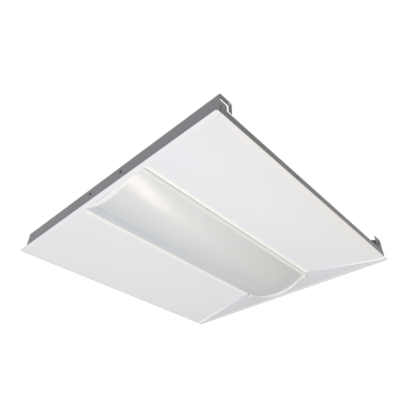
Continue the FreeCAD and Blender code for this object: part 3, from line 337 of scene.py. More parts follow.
class MaterialBook:
    """Makes and keeps one procedural material per finish."""

    CLOUD_DETAIL = 4.0
    CLOUD_RANGE = (0.25, 0.75)
    GRAIN_DETAIL = 2.0
    SCATTER_RADIUS: Vec3 = (1.0, 0.95, 0.85)
    SCATTER_MM = 3.0

    def __init__(self) -> None:
        """Start with no material made."""
        self._made: dict[str, bpy.types.Material] = {}

    @staticmethod
    def add(tree: bpy.types.NodeTree, kind: str, settings: dict | None = None,
            links: dict | None = None, **attributes: object) -> bpy.types.Node:
        """Add a node with its socket values and incoming links.

        Args:
            tree: Node tree that receives the node.
            kind: Node type.
            settings: Values of input sockets by name or number.
            links: Output sockets to link, by the input's name or number.
            **attributes: Properties of the node itself.

        Returns:
            The new node.
        """
        node = tree.nodes.new(kind)
        for key, item in attributes.items():
            setattr(node, key, item)
        for key, item in (settings or {}).items():
            node.inputs[key].default_value = item
        for key, output in (links or {}).items():
            tree.links.new(output, node.inputs[key])
        return node

    def get(self, finish: Finish) -> bpy.types.Material:
        """Return the material of a finish, made on first use.

        Args:
            finish: The finish.

        Returns:
            Its material.
        """
        if finish.name not in self._made:
            self._made[finish.name] = self._build(finish)
        return self._made[finish.name]

    def _build(self, finish: Finish) -> bpy.types.Material:
        """Build the node tree of a finish.

        Args:
            finish: The finish.

        Returns:
            The new material.
        """
        material = bpy.data.materials.new(finish.name)
        material.use_nodes = True
        tree = material.node_tree
        tree.nodes.clear()
        place = self.add(tree, "ShaderNodeTexCoord")
        mottle = self._mottle(tree, place, finish)
        tone = self.add(tree, "ShaderNodeMix", data_type="RGBA",
                        settings={"A": srgb(finish.colour), "B": srgb(finish.accent)},
                        links={"Factor": mottle})
        colour = tone.outputs["Result"]
        if finish.zones:
            parts = self.add(tree, "ShaderNodeSeparateXYZ", links={"Vector": place.outputs["Object"]})
            for zone in finish.zones:
                colour = self._zone(tree, parts, zone, colour)
        low, high = finish.rough
        rough = self.add(tree, "ShaderNodeMapRange", settings={"To Min": low, "To Max": high},
                         links={"Value": mottle})
        bump = self._grain(tree, place, finish)
        constants = {"Metallic": finish.metallic, "IOR": finish.ior, "Specular IOR Level": finish.specular}
        if finish.subsurface:
            constants.update({"Subsurface Weight": finish.subsurface,
                              "Subsurface Radius": self.SCATTER_RADIUS,
                              "Subsurface Scale": self.SCATTER_MM * MM})
        shader = self.add(tree, "ShaderNodeBsdfPrincipled", settings=constants,
                          links={"Base Color": colour, "Roughness": rough.outputs["Result"],
                                 "Normal": bump.outputs["Normal"]})
        self.add(tree, "ShaderNodeOutputMaterial", links={"Surface": shader.outputs["BSDF"]})
        return material

    def _zone(self, tree: bpy.types.NodeTree, parts: bpy.types.Node, zone: Zone,
              colour: bpy.types.NodeSocket) -> bpy.types.NodeSocket:
        """Lay one colour zone over a colour.

        Args:
            tree: Node tree of the material.
            parts: Node that gives the object axes apart.
            zone: The stretch and its colour.
            colour: Colour under the zone.

        Returns:
            The mixed colour.
        """
        along = parts.outputs[zone.axis.value]
        if zone.mirrored:
            along = self.add(tree, "ShaderNodeMath", operation="ABSOLUTE", links={0: along}).outputs[0]
        soft = zone.soft * MM
        ramps = []
        for edge, sign in ((zone.low * MM, 1.0), (zone.high * MM, -1.0)):
            ramp = self.add(tree, "ShaderNodeMapRange", interpolation_type="SMOOTHSTEP",
                            settings={"From Min": edge - sign * soft, "From Max": edge + sign * soft},
                            links={"Value": along})
            ramps.append(ramp.outputs["Result"])
        mask = self.add(tree, "ShaderNodeMath", operation="MULTIPLY", links={0: ramps[0], 1: ramps[1]})
        share = self.add(tree, "ShaderNodeMath", operation="MULTIPLY", settings={1: zone.share},
                         links={0: mask.outputs[0]})
        mixed = self.add(tree, "ShaderNodeMix", data_type="RGBA", settings={"B": srgb(zone.colour)},
                         links={"Factor": share.outputs[0], "A": colour})
        return mixed.outputs["Result"]

    def _mottle(self, tree: bpy.types.NodeTree, place: bpy.types.Node,
                finish: Finish) -> bpy.types.NodeSocket:
        """Add soft clouds that vary the tone and the sheen.

        Args:
            tree: Node tree of the material.
            place: Texture coordinates.
            finish: The finish.

        Returns:
            The share of the accent colour.
        """
        cloud = self.add(tree, "ShaderNodeTexNoise",
                         settings={"Scale": 1 / (finish.mottle_mm * MM), "Detail": self.CLOUD_DETAIL},
                         links={"Vector": place.outputs["Object"]})
        low, high = self.CLOUD_RANGE
        spread = self.add(tree, "ShaderNodeMapRange",
                          settings={"From Min": low, "From Max": high, "To Min": 0.0,
                                    "To Max": finish.mottle},
                          links={"Value": cloud.outputs["Fac"]})
        return spread.outputs["Result"]

    def _grain(self, tree: bpy.types.NodeTree, place: bpy.types.Node, finish: Finish) -> bpy.types.Node:
        """Add the fine bumps of the paint, moulding or drawing.

        Args:
            tree: Node tree of the material.
            place: Texture coordinates.
            finish: The finish.

        Returns:
            The bump node.
        """
        size = finish.grain_mm * MM
        turned = self.add(tree, "ShaderNodeMapping",
                          settings={"Scale": tuple(axis / size for axis in finish.stretch)},
                          links={"Vector": place.outputs["Object"]})
        grain = self.add(tree, "ShaderNodeTexNoise",
                         settings={"Scale": 1.0, "Detail": self.GRAIN_DETAIL},
                         links={"Vector": turned.outputs["Vector"]})
        return self.add(tree, "ShaderNodeBump",
                        settings={"Strength": finish.grain, "Distance": finish.grain_depth_mm * MM},
                        links={"Height": grain.outputs["Fac"]})


# ---------------------------------------------------------------- mesh helpers


def mesh_object(name: str, shape: bmesh.types.BMesh, angle: float = 32.0) -> bpy.types.Object:
    """Turn a bmesh in millimetres into an object in metres.

    Args:
        name: Name of the object.
        shape: The mesh, which is freed here.
        angle: Largest angle in degrees that still shades smoothly.

    Returns:
        The linked object, at the origin.
    """
    bmesh.ops.recalc_face_normals(shape, faces=shape.faces)
    limit = math.radians(angle)
    for face in shape.faces:
        face.smooth = True
    for edge in shape.edges:
        if len(edge.link_faces) == 2 and edge.calc_face_angle(0.0) > limit:
            edge.smooth = False
    shape.transform(Matrix.Scale(MM, 4))
    mesh = bpy.data.meshes.new(name)
    shape.to_mesh(mesh)
    shape.free()
    item = bpy.data.objects.new(name, mesh)
    bpy.context.scene.collection.objects.link(item)
    return item


def bevel_edges(shape: bmesh.types.BMesh, width: float, segments: int = 2, angle: float = 40.0) -> None:
    """Round every edge sharper than an angle.

    Args:
        shape: Mesh whose edges are rounded.
        width: Width of the rounding.
        segments: Parts of each rounding.
        angle: Least angle in degrees between two faces.
    """
    limit = math.radians(angle)
    edges = [e for e in shape.edges if len(e.link_faces) == 2 and e.calc_face_angle(0.0) > limit]
    bmesh.ops.bevel(shape, geom=edges, offset=width, segments=segments, affect="EDGES", profile=0.5,
                    clamp_overlap=True)


def sweep_outline(shape: bmesh.types.BMesh, outline: list[tuple[float, float]], low: float, high: float,
                  steps: int = 1) -> None:
    """Sweep a closed outline in Y and Z along X and close both ends.

    Args:
        shape: Mesh that receives the solid.
        outline: Corner list in Y and Z.
        low: X of one end.
        high: X of the other end.
        steps: Number of parts along X.
    """
    rings = []
    for step in range(steps + 1):
        x = low + (high - low) * step / steps
        rings.append([shape.verts.new((x, y, z)) for y, z in outline])
    count = len(outline)
    for one, two in zip(rings, rings[1:]):
        for i in range(count):
            shape.faces.new((one[i], one[(i + 1) % count], two[(i + 1) % count], two[i]))
    shape.faces.new(rings[0])
    shape.faces.new(list(reversed(rings[-1])))


def lathe(shape: bmesh.types.BMesh, profile: list[tuple[float, float]], centre: Vec3, axis: Vec3,
          segments: int) -> None:
    """Turn a profile about an axis.

    Args:
        shape: Mesh that receives the solid.
        profile: Pairs of radius and height. A radius of zero closes an end.
        centre: Place of height zero.
        axis: Direction of growing height.
        segments: Parts of each circle.
    """
    turn = Vector((0, 0, 1)).rotation_difference(Vector(axis)).to_matrix().to_4x4()
    frame = Matrix.Translation(Vector(centre)) @ turn
    rings = []
    for radius, height in profile:
        if radius == 0:
            rings.append([shape.verts.new(frame @ Vector((0, 0, height)))])
        else:
            ring = []
            for i in range(segments):
                angle = 2 * math.pi * i / segments
                ring.append(shape.verts.new(frame @ Vector((radius * math.cos(angle),
                                                            radius * math.sin(angle), height))))
            rings.append(ring)
    for one, two in zip(rings, rings[1:]):
        for i in range(segments):
            corners = [one[i % len(one)], one[(i + 1) % len(one)], two[(i + 1) % len(two)], two[i % len(two)]]
            unique = list(dict.fromkeys(corners))
            if len(unique) > 2:
                shape.faces.new(unique)


def block(shape: bmesh.types.BMesh, low: Vec3, high: Vec3, bevel: float, segments: int = 2) -> None:
    """Add a box with rounded edges.

    Args:
        shape: Mesh that receives the box.
        low: Lowest corner.
        high: Highest corner.
        bevel: Width of the rounding.
        segments: Parts of each rounding.
    """
    part = bmesh.new()
    bmesh.ops.create_cube(part, size=1.0)
    centre = [(a + b) / 2 for a, b in zip(low, high)]
    spans = [b - a for a, b in zip(low, high)]
    part.transform(Matrix.Translation(centre) @ Matrix.Diagonal((*spans, 1.0)))
    bmesh.ops.bevel(part, geom=part.edges[:], offset=bevel, segments=segments, affect="EDGES", profile=0.5)
    merge(shape, part)


def raised_block(shape: bmesh.types.BMesh, foot: Vec3, size: Vec3, sunk: float, bevel: float,
                 segments: int = 2) -> None:
    """Add a rounded box that stands on a face.

    Args:
        shape: Mesh that receives the box.
        foot: Middle of the box on the face.
        size: Its length, its width and its height above the face.
        sunk: How deep it starts below the face.
        bevel: Width of the rounding.
        segments: Parts of each rounding.
    """
    (x, y, z), (length, width, tall) = foot, size
    block(shape, (x - length / 2, y - width / 2, z - sunk), (x + length / 2, y + width / 2, z + tall),
          bevel, segments)


def tube(shape: bmesh.types.BMesh, path: list[Vec3], radius: float, segments: int = 10) -> None:
    """Sweep a round section along a path and close both ends.

    Args:
        shape: Mesh that receives the tube.
        path: Points along its middle.
        radius: Radius of the section.
        segments: Parts of the section.
    """
    points = [Vector(point) for point in path]
    across, rings = None, []
    for i, point in enumerate(points):
        ahead = (points[min(i + 1, len(points) - 1)] - points[max(i - 1, 0)]).normalized()
        if across is None:
            across = ahead.orthogonal().normalized()
        across = (across - ahead * across.dot(ahead)).normalized()
        above = ahead.cross(across)
        turns = [2 * math.pi * k / segments for k in range(segments)]
        rings.append([shape.verts.new(point + radius * (across * math.cos(a) + above * math.sin(a)))
                      for a in turns])
    for one, two in zip(rings, rings[1:]):
        for k in range(segments):
            shape.faces.new((one[k], one[(k + 1) % segments], two[(k + 1) % segments], two[k]))
    shape.faces.new(list(reversed(rings[0])))
    shape.faces.new(rings[-1])


def merge(shape: bmesh.types.BMesh, part: bmesh.types.BMesh) -> None:
    """Copy one mesh into another and free it.

    Args:
        shape: Mesh that receives the copy.
        part: Mesh that is copied.
    """
    twins = {vert: shape.verts.new(vert.co) for vert in part.verts}
    for face in part.faces:
        shape.faces.new([twins[vert] for vert in face.verts])
    part.free()


# --------------------------------------------------------------------- pieces


@dataclass
class Workshop:
    """What every piece needs to be made and fixed to the frame.

    Attributes:
        frame: The loaded CAD frame.
        book: Materials made so far.
        made: Pieces made so far.
        weld: Distance below which a copied solid's corners are one.
        flat_angle: Angle in degrees below which its faces are one.
        sharp_angle: Angle in degrees above which its edges are broken.
    """

    frame: dict
    book: MaterialBook = field(default_factory=MaterialBook)
    made: list[bpy.types.Object] = field(default_factory=list)
    weld: float = 0.004
    flat_angle: float = 1.0
    sharp_angle: float = 38.0

    def span(self, node: str) -> tuple[Vector, Vector]:
        """Measure a solid.

        Args:
            node: Name of the solid.

        Returns:
            Its lowest and highest corner in millimetres.
        """
        low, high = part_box(node)
        return Vector(low) / MM, Vector(high) / MM

    def finish_of(self, slot: Slot, nodes: tuple[str, ...]) -> Finish:
        """Look up the finish of a piece.

        Args:
            slot: Material slot of the record.
            nodes: Solids that it stands for.

        Returns:
            The first solid's own finish, or else the slot's.
        """
        for node in nodes:
            if node in NODE_FINISHES:
                return NODE_FINISHES[node]
        return FINISHES[slot]

    def fit(self, item: bpy.types.Object, body: Body | str, slot: Slot, *nodes: str) -> None:
        """Give a piece the material of its slot or its solids, fix it to its body and hide the solids that it
        replaces.

        Args:
            item: The piece.
            body: Body that it rides on.
            slot: Material slot of the record.
            *nodes: Solids that it replaces.
        """
        item.data.materials.clear()
        item.data.materials.append(self.book.get(self.finish_of(slot, nodes)))
        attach(item, body.value if isinstance(body, Body) else body)
        if nodes:
            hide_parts(*nodes)
        self.made.append(item)
        LOG.info("made %s", item.name)

    def folded_copy(self, node: str, edge: float, segments: int = 1) -> bmesh.types.BMesh:
        """Copy a solid's mesh, merged, with its sharp edges broken as on the real piece.

        Args:
            node: Solid to copy.
            edge: Width of the broken edge in millimetres.
            segments: Parts of each broken edge.

        Returns:
            The mesh in millimetres.
        """
        shape = bmesh.new()
        shape.from_mesh(self.frame["nodes"][node].data)
        shape.transform(Matrix.Scale(1 / MM, 4))
        bmesh.ops.remove_doubles(shape, verts=shape.verts, dist=self.weld)
        bmesh.ops.dissolve_limit(shape, angle_limit=math.radians(self.flat_angle), verts=shape.verts,
                                 edges=shape.edges)
        bevel_edges(shape, edge, segments, self.sharp_angle)
        return shape


@dataclass
class SheetMetal:
    """Grey frame and wiring box: bent sheets whose sheared edges are broken.

    Attributes:
        shop: Workshop that fits the pieces.
        edge: Width of a broken edge.
    """

    shop: Workshop
    edge: float = 0.14
    NODES: ClassVar[dict[str, Body | str]] = {
        "end_plate_near": Body.HOUSING, "end_plate_far": Body.HOUSING, "side_rail_left": Body.HOUSING,
        "side_rail_right": Body.HOUSING, "spine_channel": Body.HOUSING, "driver_box": Body.HOUSING,
        "driver_box_cover": Body.COVER, "grid_clip_near_left": "grid_clip_near_left_body",
        "grid_clip_near_right": "grid_clip_near_right_body", "grid_clip_far_left": "grid_clip_far_left_body",
        "grid_clip_far_right": "grid_clip_far_right_body",
    }

    def build(self) -> None:
        """Make every grey sheet."""
        for node, body in self.NODES.items():
            shape = self.shop.folded_copy(node, self.edge)
            self.shop.fit(mesh_object(f"sheet_{node}", shape), body, Slot.STEEL, node)


@dataclass
class WhiteReflectors:
    """Wings with rolled beads and mitre edges, and the end pieces between them.

    Attributes:
        shop: Workshop that fits the pieces.
        edge: Width of a broken edge.
        bead_radius: Radius of the bead beside the lens.
        bead_reach: Y of its middle.
        bead_height: Height of its middle.
        bead_end: X of its ends.
        bead_facets: Parts of its section.
        mitre_radius: Radius of the rolled edge along a mitre.
        mitre_foot: Its end at the rim, on the far left.
        mitre_head: Its end at the lens, on the far left.
    """

    shop: Workshop
    edge: float = 0.12
    bead_radius: float = 1.25
    bead_reach: float = 98.7
    bead_height: float = 31.75
    bead_end: float = 280.2
    bead_facets: int = 12
    mitre_radius: float = 0.75
    mitre_foot: Vec3 = (289.65, 289.0, -0.2)
    mitre_head: Vec3 = (279.55, 100.0, 31.9)

    def wing(self, hand: str, side: int) -> None:
        """One wing: folded sheet, its bead and the rolled edge at each mitre.

        Args:
            hand: Word for the side in the names.
            side: Sign of the side along Y.
        """
        node = f"side_panel_{hand}"
        shape = self.shop.folded_copy(node, self.edge)
        y = side * self.bead_reach
        tube(shape, [(-self.bead_end, y, self.bead_height), (self.bead_end, y, self.bead_height)],
             self.bead_radius, self.bead_facets)
        for end in (-1, 1):
            path = [(end * x, side * reach, z) for x, reach, z in (self.mitre_foot, self.mitre_head)]
            tube(shape, path, self.mitre_radius)
        self.shop.fit(mesh_object(f"wing_{hand}", shape), Body.HOUSING, Slot.WHITE, node)

    def end_piece(self, word: str) -> None:
        """One end piece: folded lip and slope.

        Args:
            word: Word for the end in the names.
        """
        node = f"end_reflector_{word}"
        shape = self.shop.folded_copy(node, self.edge)
        self.shop.fit(mesh_object(f"end_piece_{word}", shape), Body.HOUSING, Slot.WHITE, node)

    def build(self) -> None:
        """Make the two wings and the two end pieces."""
        for hand, side in (("left", 1), ("right", -1)):
            self.wing(hand, side)
        for word in ("near", "far"):
            self.end_piece(word)


@dataclass
class LensAssembly:
    """The bowed lens and its two end caps.

    Attributes:
        shop: Workshop that fits the pieces.
        radius: Radius of the lens's wide arc.
        width: Width over its legs.
        drop: Height of its lowest point.
        corner: Radius where the arc meets a leg.
        thickness: Thickness of its wall.
        top: Height of its legs' tops.
        length: Length between the caps.
        edge: Rounding of its edges.
        sharp_angle: Least angle in degrees of an edge that the lens's or the lip's rounding takes.
        cap_rim: How far a cap stands proud of the lens.
        cap_top: Height of the cap's top.
        cap_thickness: Thickness of its plate.
        cap_edge: Rounding of the plate's edges.
        web: Thickness of the web under each shoulder.
        web_width: Width of the web.
        web_foot: Height of the web's foot.
        web_inset: How far it stays inside the plate's faces.
        web_edge: Rounding of its edges.
        bead_radius: Radius of the bead along the cap's rim.
        bead_proud: Distance of its middle from the lens's end.
        bead_drop: Distance of its ends below the cap's top.
        lip_reach: Reach of the lip beyond the plate, at height zero.
        lip_taper: Loss of that reach for each millimetre of height.
        lip_thickness: Thickness of the lip.
        lip_top: Height where the lip ends.
        lip_root: How deep it starts in the plate.
        lip_edge: Rounding of its edges.
    """

    shop: Workshop
    radius: float = 166.2
    width: float = 188.0
    drop: float = 2.3
    corner: float = 3.0
    thickness: float = 1.8
    top: float = 37.7
    length: float = 561.8
    edge: float = 0.35
    sharp_angle: float = 60.0
    cap_rim: float = 1.8
    cap_top: float = 36.0
    cap_thickness: float = 2.0
    cap_edge: float = 0.4
    web: float = 1.0
    web_width: float = 22.0
    web_foot: float = 19.9
    web_inset: float = 0.05
    web_edge: float = 0.25
    bead_radius: float = 0.95
    bead_proud: float = 0.5
    bead_drop: float = 1.0
    lip_reach: float = 6.4
    lip_taper: float = 0.315
    lip_thickness: float = 1.2
    lip_top: float = 18.0
    lip_root: float = 0.3
    lip_edge: float = 0.3

    def outline(self, grow: float, top: float, arc_steps: int = 72,
                corner_steps: int = 8) -> list[tuple[float, float]]:
        """Open outline of the bowed form from one leg's top to the other's.

        Args:
            grow: Distance outwards from the lens's outer face.
            top: Height where the legs end.
            arc_steps: Parts of the wide arc.
            corner_steps: Parts of each corner arc.

        Returns:
            Points in Y and Z.
        """
        wide, small = self.radius + grow, self.corner + grow
        half, foot = self.width / 2 + grow, self.drop - grow
        side = half - small
        centre = foot + wide
        height = centre - math.sqrt((wide - small) ** 2 - side**2)
        slope = math.atan2(height - centre, side)
        points = [(half, top)]
        for i in range(corner_steps + 1):
            angle = slope * i / corner_steps
            points.append((side + small * math.cos(angle), height + small * math.sin(angle)))
        for i in range(1, arc_steps):
            angle = slope + (-math.pi - 2 * slope) * i / arc_steps
            points.append((wide * math.cos(angle), centre + wide * math.sin(angle)))
        return points + [(-y, z) for y, z in reversed(points[: corner_steps + 2])]

    def lens(self) -> None:
        """The cover: outer and inner faces joined into one rounded shell."""
        outer = self.outline(0.0, self.top)
        inner = self.outline(-self.thickness, self.top)
        shape = bmesh.new()
        half = self.length / 2
        sweep_outline(shape, outer + list(reversed(inner)), -half, half, steps=4)
        bevel_edges(shape, self.edge, angle=self.sharp_angle)
        self.shop.fit(mesh_object("lens_cover", shape), Body.LENS, Slot.LENS, "lens")

    def lip(self, end: int, face: float) -> bmesh.types.BMesh:
        """The moulded lip that closes the groove between a cap and the end piece.

        Args:
            end: Sign of the cap's end.
            face: X of the cap's outer face.

        Returns:
            The lip's own mesh.
        """
        shape = bmesh.new()
        outer = self.outline(self.cap_rim, self.cap_top)
        inner = self.outline(self.cap_rim - self.lip_thickness, self.cap_top)
        rings = []
        for (y, z), (y_in, z_in) in zip(outer, inner):
            if z < self.lip_top:
                root, tip = face - end * self.lip_root, face + end * (self.lip_reach - self.lip_taper * z)
                corners = [(root, y, z), (tip, y, z), (tip, y_in, z_in), (root, y_in, z_in)]
                rings.append([shape.verts.new(corner) for corner in corners])
        for one, two in zip(rings, rings[1:]):
            for k in range(4):
                shape.faces.new((one[k], one[(k + 1) % 4], two[(k + 1) % 4], two[k]))
        shape.faces.new(rings[0])
        shape.faces.new(list(reversed(rings[-1])))
        bevel_edges(shape, self.lip_edge, angle=self.sharp_angle)
        return shape

    def cap(self, word: str, end: int) -> None:
        """One end cap: plate, thin web under each shoulder, lip and rim bead.

        Args:
            word: Word for the end in the names.
            end: Sign of the end along X.
        """
        near = end * self.length / 2
        far = end * (self.length / 2 + self.cap_thickness)
        shape = bmesh.new()
        sweep_outline(shape, self.outline(self.cap_rim, self.cap_top), min(near, far), max(near, far))
        bevel_edges(shape, self.cap_edge)
        reach = self.width / 2 + self.cap_rim - self.web_inset
        face, back = far - end * self.web_inset, far - end * self.web
        for side in (-1, 1):
            inner, outer = side * (reach - self.web_width), side * reach
            block(shape, (min(back, face), min(inner, outer), self.web_foot),
                  (max(back, face), max(inner, outer), self.cap_top - self.web_inset), self.web_edge)
        merge(shape, self.lip(end, far))
        x = end * (self.length / 2 + self.bead_proud)
        rim = self.outline(self.cap_rim / 2, self.cap_top - self.bead_drop)
        tube(shape, [(x, y, z) for y, z in rim], self.bead_radius)
        self.shop.fit(mesh_object(f"lens_cap_{word}", shape), Body.LENS, Slot.CAP, f"lens_end_cap_{word}")

    def build(self) -> None:
        """Make the lens and both caps."""
        self.lens()
        self.cap("near", -1)
        self.cap("far", 1)


class RowMaker:
    """Repeats one template along a line with Geometry Nodes and returns a plain mesh."""

    def __init__(self) -> None:
        """Build the node tree that every row shares."""
        self.group = self._group()

    def _group(self) -> bpy.types.NodeTree:
        """Build the node tree that repeats a template.

        Returns:
            The node tree.
        """
        group = bpy.data.node_groups.new("row_of_pieces", "GeometryNodeTree")
        face = group.interface
        face.new_socket(name="Template", in_out="INPUT", socket_type="NodeSocketGeometry")
        for name, kind in (("Count", "NodeSocketInt"), ("Start", "NodeSocketVector"),
                           ("Step", "NodeSocketVector"), ("Turn Jitter", "NodeSocketVector"),
                           ("Seed", "NodeSocketInt"), ("Material", "NodeSocketMaterial")):
            face.new_socket(name=name, in_out="INPUT", socket_type=kind)
        face.new_socket(name="Geometry", in_out="OUTPUT", socket_type="NodeSocketGeometry")
        add = MaterialBook.add
        given = add(group, "NodeGroupInput").outputs
        line = add(group, "GeometryNodeMeshLine", mode="OFFSET",
                   links={"Count": given["Count"], "Start Location": given["Start"],
                          "Offset": given["Step"]})
        back = add(group, "ShaderNodeVectorMath", operation="SCALE", settings={"Scale": -1.0},
                   links={0: given["Turn Jitter"]})
        turn = add(group, "FunctionNodeRandomValue", data_type="FLOAT_VECTOR",
                   links={"Min": back.outputs[0], "Max": given["Turn Jitter"], "Seed": given["Seed"]})
        spread = add(group, "GeometryNodeInstanceOnPoints",
                     links={"Points": line.outputs["Mesh"], "Instance": given["Template"],
                            "Rotation": turn.outputs[0]})
        solid = add(group, "GeometryNodeRealizeInstances", links={"Geometry": spread.outputs["Instances"]})
        finish = add(group, "GeometryNodeSetMaterial",
                     links={"Geometry": solid.outputs[0], "Material": given["Material"]})
        add(group, "NodeGroupOutput", links={"Geometry": finish.outputs["Geometry"]})
        return group

    def row(self, name: str, template: bpy.types.Object, count: int, start: Vec3, step: Vec3,
            jitter: Vec3, seed: int, material: bpy.types.Material) -> bpy.types.Object:
        """Make a row of copies of a template, which is used up.

        Args:
            name: Name of the finished object.
            template: Object at the origin that is repeated.
            count: Number of copies.
            start: Place of the first copy in millimetres.
            step: Step between copies in millimetres.
            jitter: Largest turn of a copy about each axis, in radians.
            seed: Seed of the turns.
            material: Finish of the copies.

        Returns:
            A plain mesh object at the origin.
        """
        wanted = {"Count": count, "Start": [v * MM for v in start], "Step": [v * MM for v in step],
                  "Turn Jitter": list(jitter), "Seed": seed, "Material": material}
        modifier = template.modifiers.new("row", "NODES")
        modifier.node_group = self.group
        for socket in self.group.interface.items_tree:
            if socket.in_out == "INPUT" and socket.name in wanted:
                modifier[socket.identifier] = wanted[socket.name]
        graph = bpy.context.evaluated_depsgraph_get()
        graph.update()
        mesh = bpy.data.meshes.new_from_object(template.evaluated_get(graph))
        mesh.name = name
        item = bpy.data.objects.new(name, mesh)
        bpy.context.scene.collection.objects.link(item)
        bpy.data.objects.remove(template)
        return item


def join_rows(name: str, rows: list[bpy.types.Object]) -> bpy.types.Object:
    """Join plain meshes into one object.

    Args:
        name: Name of the object.
        rows: Objects that are joined, and removed.

    Returns:
        The linked object.
    """
    shape = bmesh.new()
    for row in rows:
        shape.from_mesh(row.data)
        bpy.data.objects.remove(row)
    mesh = bpy.data.meshes.new(name)
    shape.to_mesh(mesh)
    shape.free()
    item = bpy.data.objects.new(name, mesh)
    bpy.context.scene.collection.objects.link(item)
    return item


@dataclass
class Fasteners:
    """Hex washer head screws and domed rivets in their rows.

    Attributes:
        shop: Workshop that fits the pieces.
        rows: Maker of their rows.
        head_radius: Radius of a screw's washer.
        head_height: Height of its head.
        shank_radius: Radius of its shank.
        small_radius: The same for the smaller screws, and the radius of a rivet's dome.
        small_height: The same for the smaller screws, and the height of the dome.
        small_shank: The same for the smaller screws, and the radius of a rivet's tail.
        thread_pitch: Distance between threads.
        thread_half: Half the width of a thread.
        thread_shares: Tip, valley and crest of the thread as shares of the shank's radius.
        washer: Profile of the washer as shares of its radius and of the head's height.
        across: Reach of the head's six corners as a share of the washer's radius.
        head_foot: Height of the six sides' foot as a share of the head's height.
        head_round: Rounding of the head's top as a share of its height.
        neck: Height where the thread starts in the head, as a share of the head's height.
        head_facets: Parts of the washer's circles.
        thread_facets: Parts of the thread's circles.
        mandrel: Profile of a rivet's broken mandrel, as radius and share of the dome's height.
        dome_angles: Angles of the dome's rings, in radians.
        tail: Profile of the set tail as shares of its radius and length.
        rivet_facets: Parts of a rivet's circles.
        end_shank: Length of the end walls' screws under the head.
        lid_shank: The same for the cover's screws.
        driver_shank: The same for the supply's screws.
        board_shank: The same for the boards' screws.
        tray_shank: The same for the tray's screws.
        end_turn: Largest turn of an end wall's screw, in radians.
        turn: Largest turn of the other screws.
        rivet_turn: Largest turn of a rivet.
    """

    shop: Workshop
    rows: RowMaker
    head_radius: float = 3.4
    head_height: float = 1.8
    shank_radius: float = 1.7
    small_radius: float = 2.6
    small_height: float = 1.3
    small_shank: float = 1.3
    thread_pitch: float = 0.9
    thread_half: float = 0.2
    thread_shares: Vec3 = (0.55, 0.82, 0.98)
    washer: Profile = ((0.0, 0.0), (0.98, 0.0), (0.98, 0.14), (0.8, 0.3), (0.0, 0.3))
    across: float = 0.78
    head_foot: float = 0.2
    head_round: float = 0.12
    neck: float = 0.1
    head_facets: int = 40
    thread_facets: int = 24
    mandrel: Profile = ((0.0, 0.62), (0.7, 0.62), (0.85, 1.0))
    dome_angles: tuple[float, ...] = (1.1, 0.8, 0.5, 0.2, 0.0)
    tail: Profile = ((1.0, 0.0), (1.0, 0.45), (1.15, 0.7), (0.9, 0.98), (0.0, 1.0))
    rivet_facets: int = 32
    end_shank: float = 5.0
    lid_shank: float = 5.0
    driver_shank: float = 1.8
    board_shank: float = 3.3
    tray_shank: float = 4.3
    end_turn: float = 0.5
    turn: float = 0.6
    rivet_turn: float = 0.1

    def head(self, radius: float, height: float) -> bmesh.types.BMesh:
        """Six-sided head of a screw with a rounded top.

        Args:
            radius: Radius of the screw's washer.
            height: Height of the head's top.

        Returns:
            The head's own mesh.
        """
        part = bmesh.new()
        reach = radius * self.across
        corners = [(reach * math.cos(math.pi * i / 3), reach * math.sin(math.pi * i / 3)) for i in range(6)]
        low = [part.verts.new((x, y, height * self.head_foot)) for x, y in corners]
        high = [part.verts.new((x, y, height)) for x, y in corners]
        for i in range(6):
            part.faces.new((low[i], low[(i + 1) % 6], high[(i + 1) % 6], high[i]))
        part.faces.new(list(reversed(low)))
        top = part.faces.new(high)
        bmesh.ops.bevel(part, geom=list(top.edges), offset=height * self.head_round, segments=2,
                        affect="EDGES", profile=0.5)
        return part

    def screw(self, name: str, length: float, axis: Vec3, small: bool = False) -> bpy.types.Object:
        """One screw: washer, six-sided head with a domed top, threaded shank.

        Args:
            name: Name of the template.
            length: Length of the shank.
            axis: Direction that the head points in.
            small: True for the smaller size.

        Returns:
            The screw with its seat at the origin.
        """
        radius, head, shank = (
            (self.small_radius, self.small_height, self.small_shank) if small
            else (self.head_radius, self.head_height, self.shank_radius))
        shape = bmesh.new()
        lathe(shape, [(radius * r, head * h) for r, h in self.washer], (0, 0, 0), (0, 0, 1),
              self.head_facets)
        merge(shape, self.head(radius, head))
        tip, valley, crest = [shank * share for share in self.thread_shares]
        thread = [(0, -length), (tip, -length)]
        turns = max(int(length / self.thread_pitch), 2)
        for i in range(turns):
            height = -length + length * (i + 0.5) / turns
            thread += [(valley, height - self.thread_half), (crest, height),
                       (valley, height + self.thread_half)]
        thread += [(valley, head * self.neck), (0, head * self.neck)]
        lathe(shape, thread, (0, 0, 0), (0, 0, 1), self.thread_facets)
        shape.transform(Vector((0, 0, 1)).rotation_difference(Vector(axis)).to_matrix().to_4x4())
        return mesh_object(name, shape)

    def pair(self, name: str, template: bpy.types.Object, first: Vec3, last: Vec3, jitter: Vec3,
             seed: int, finish: Finish) -> bpy.types.Object:
        """Two copies of a template at two places.

        Args:
            name: Name of the pair.
            template: Object that is repeated, and used up.
            first: Place of the first copy.
            last: Place of the second copy.
            jitter: Largest turn about each axis, in radians.
            seed: Seed of the turns.
            finish: Finish of the pair.

        Returns:
            A plain mesh object at the origin.
        """
        step = tuple(b - a for a, b in zip(first, last))
        return self.rows.row(name, template, 2, first, step, jitter, seed, self.shop.book.get(finish))

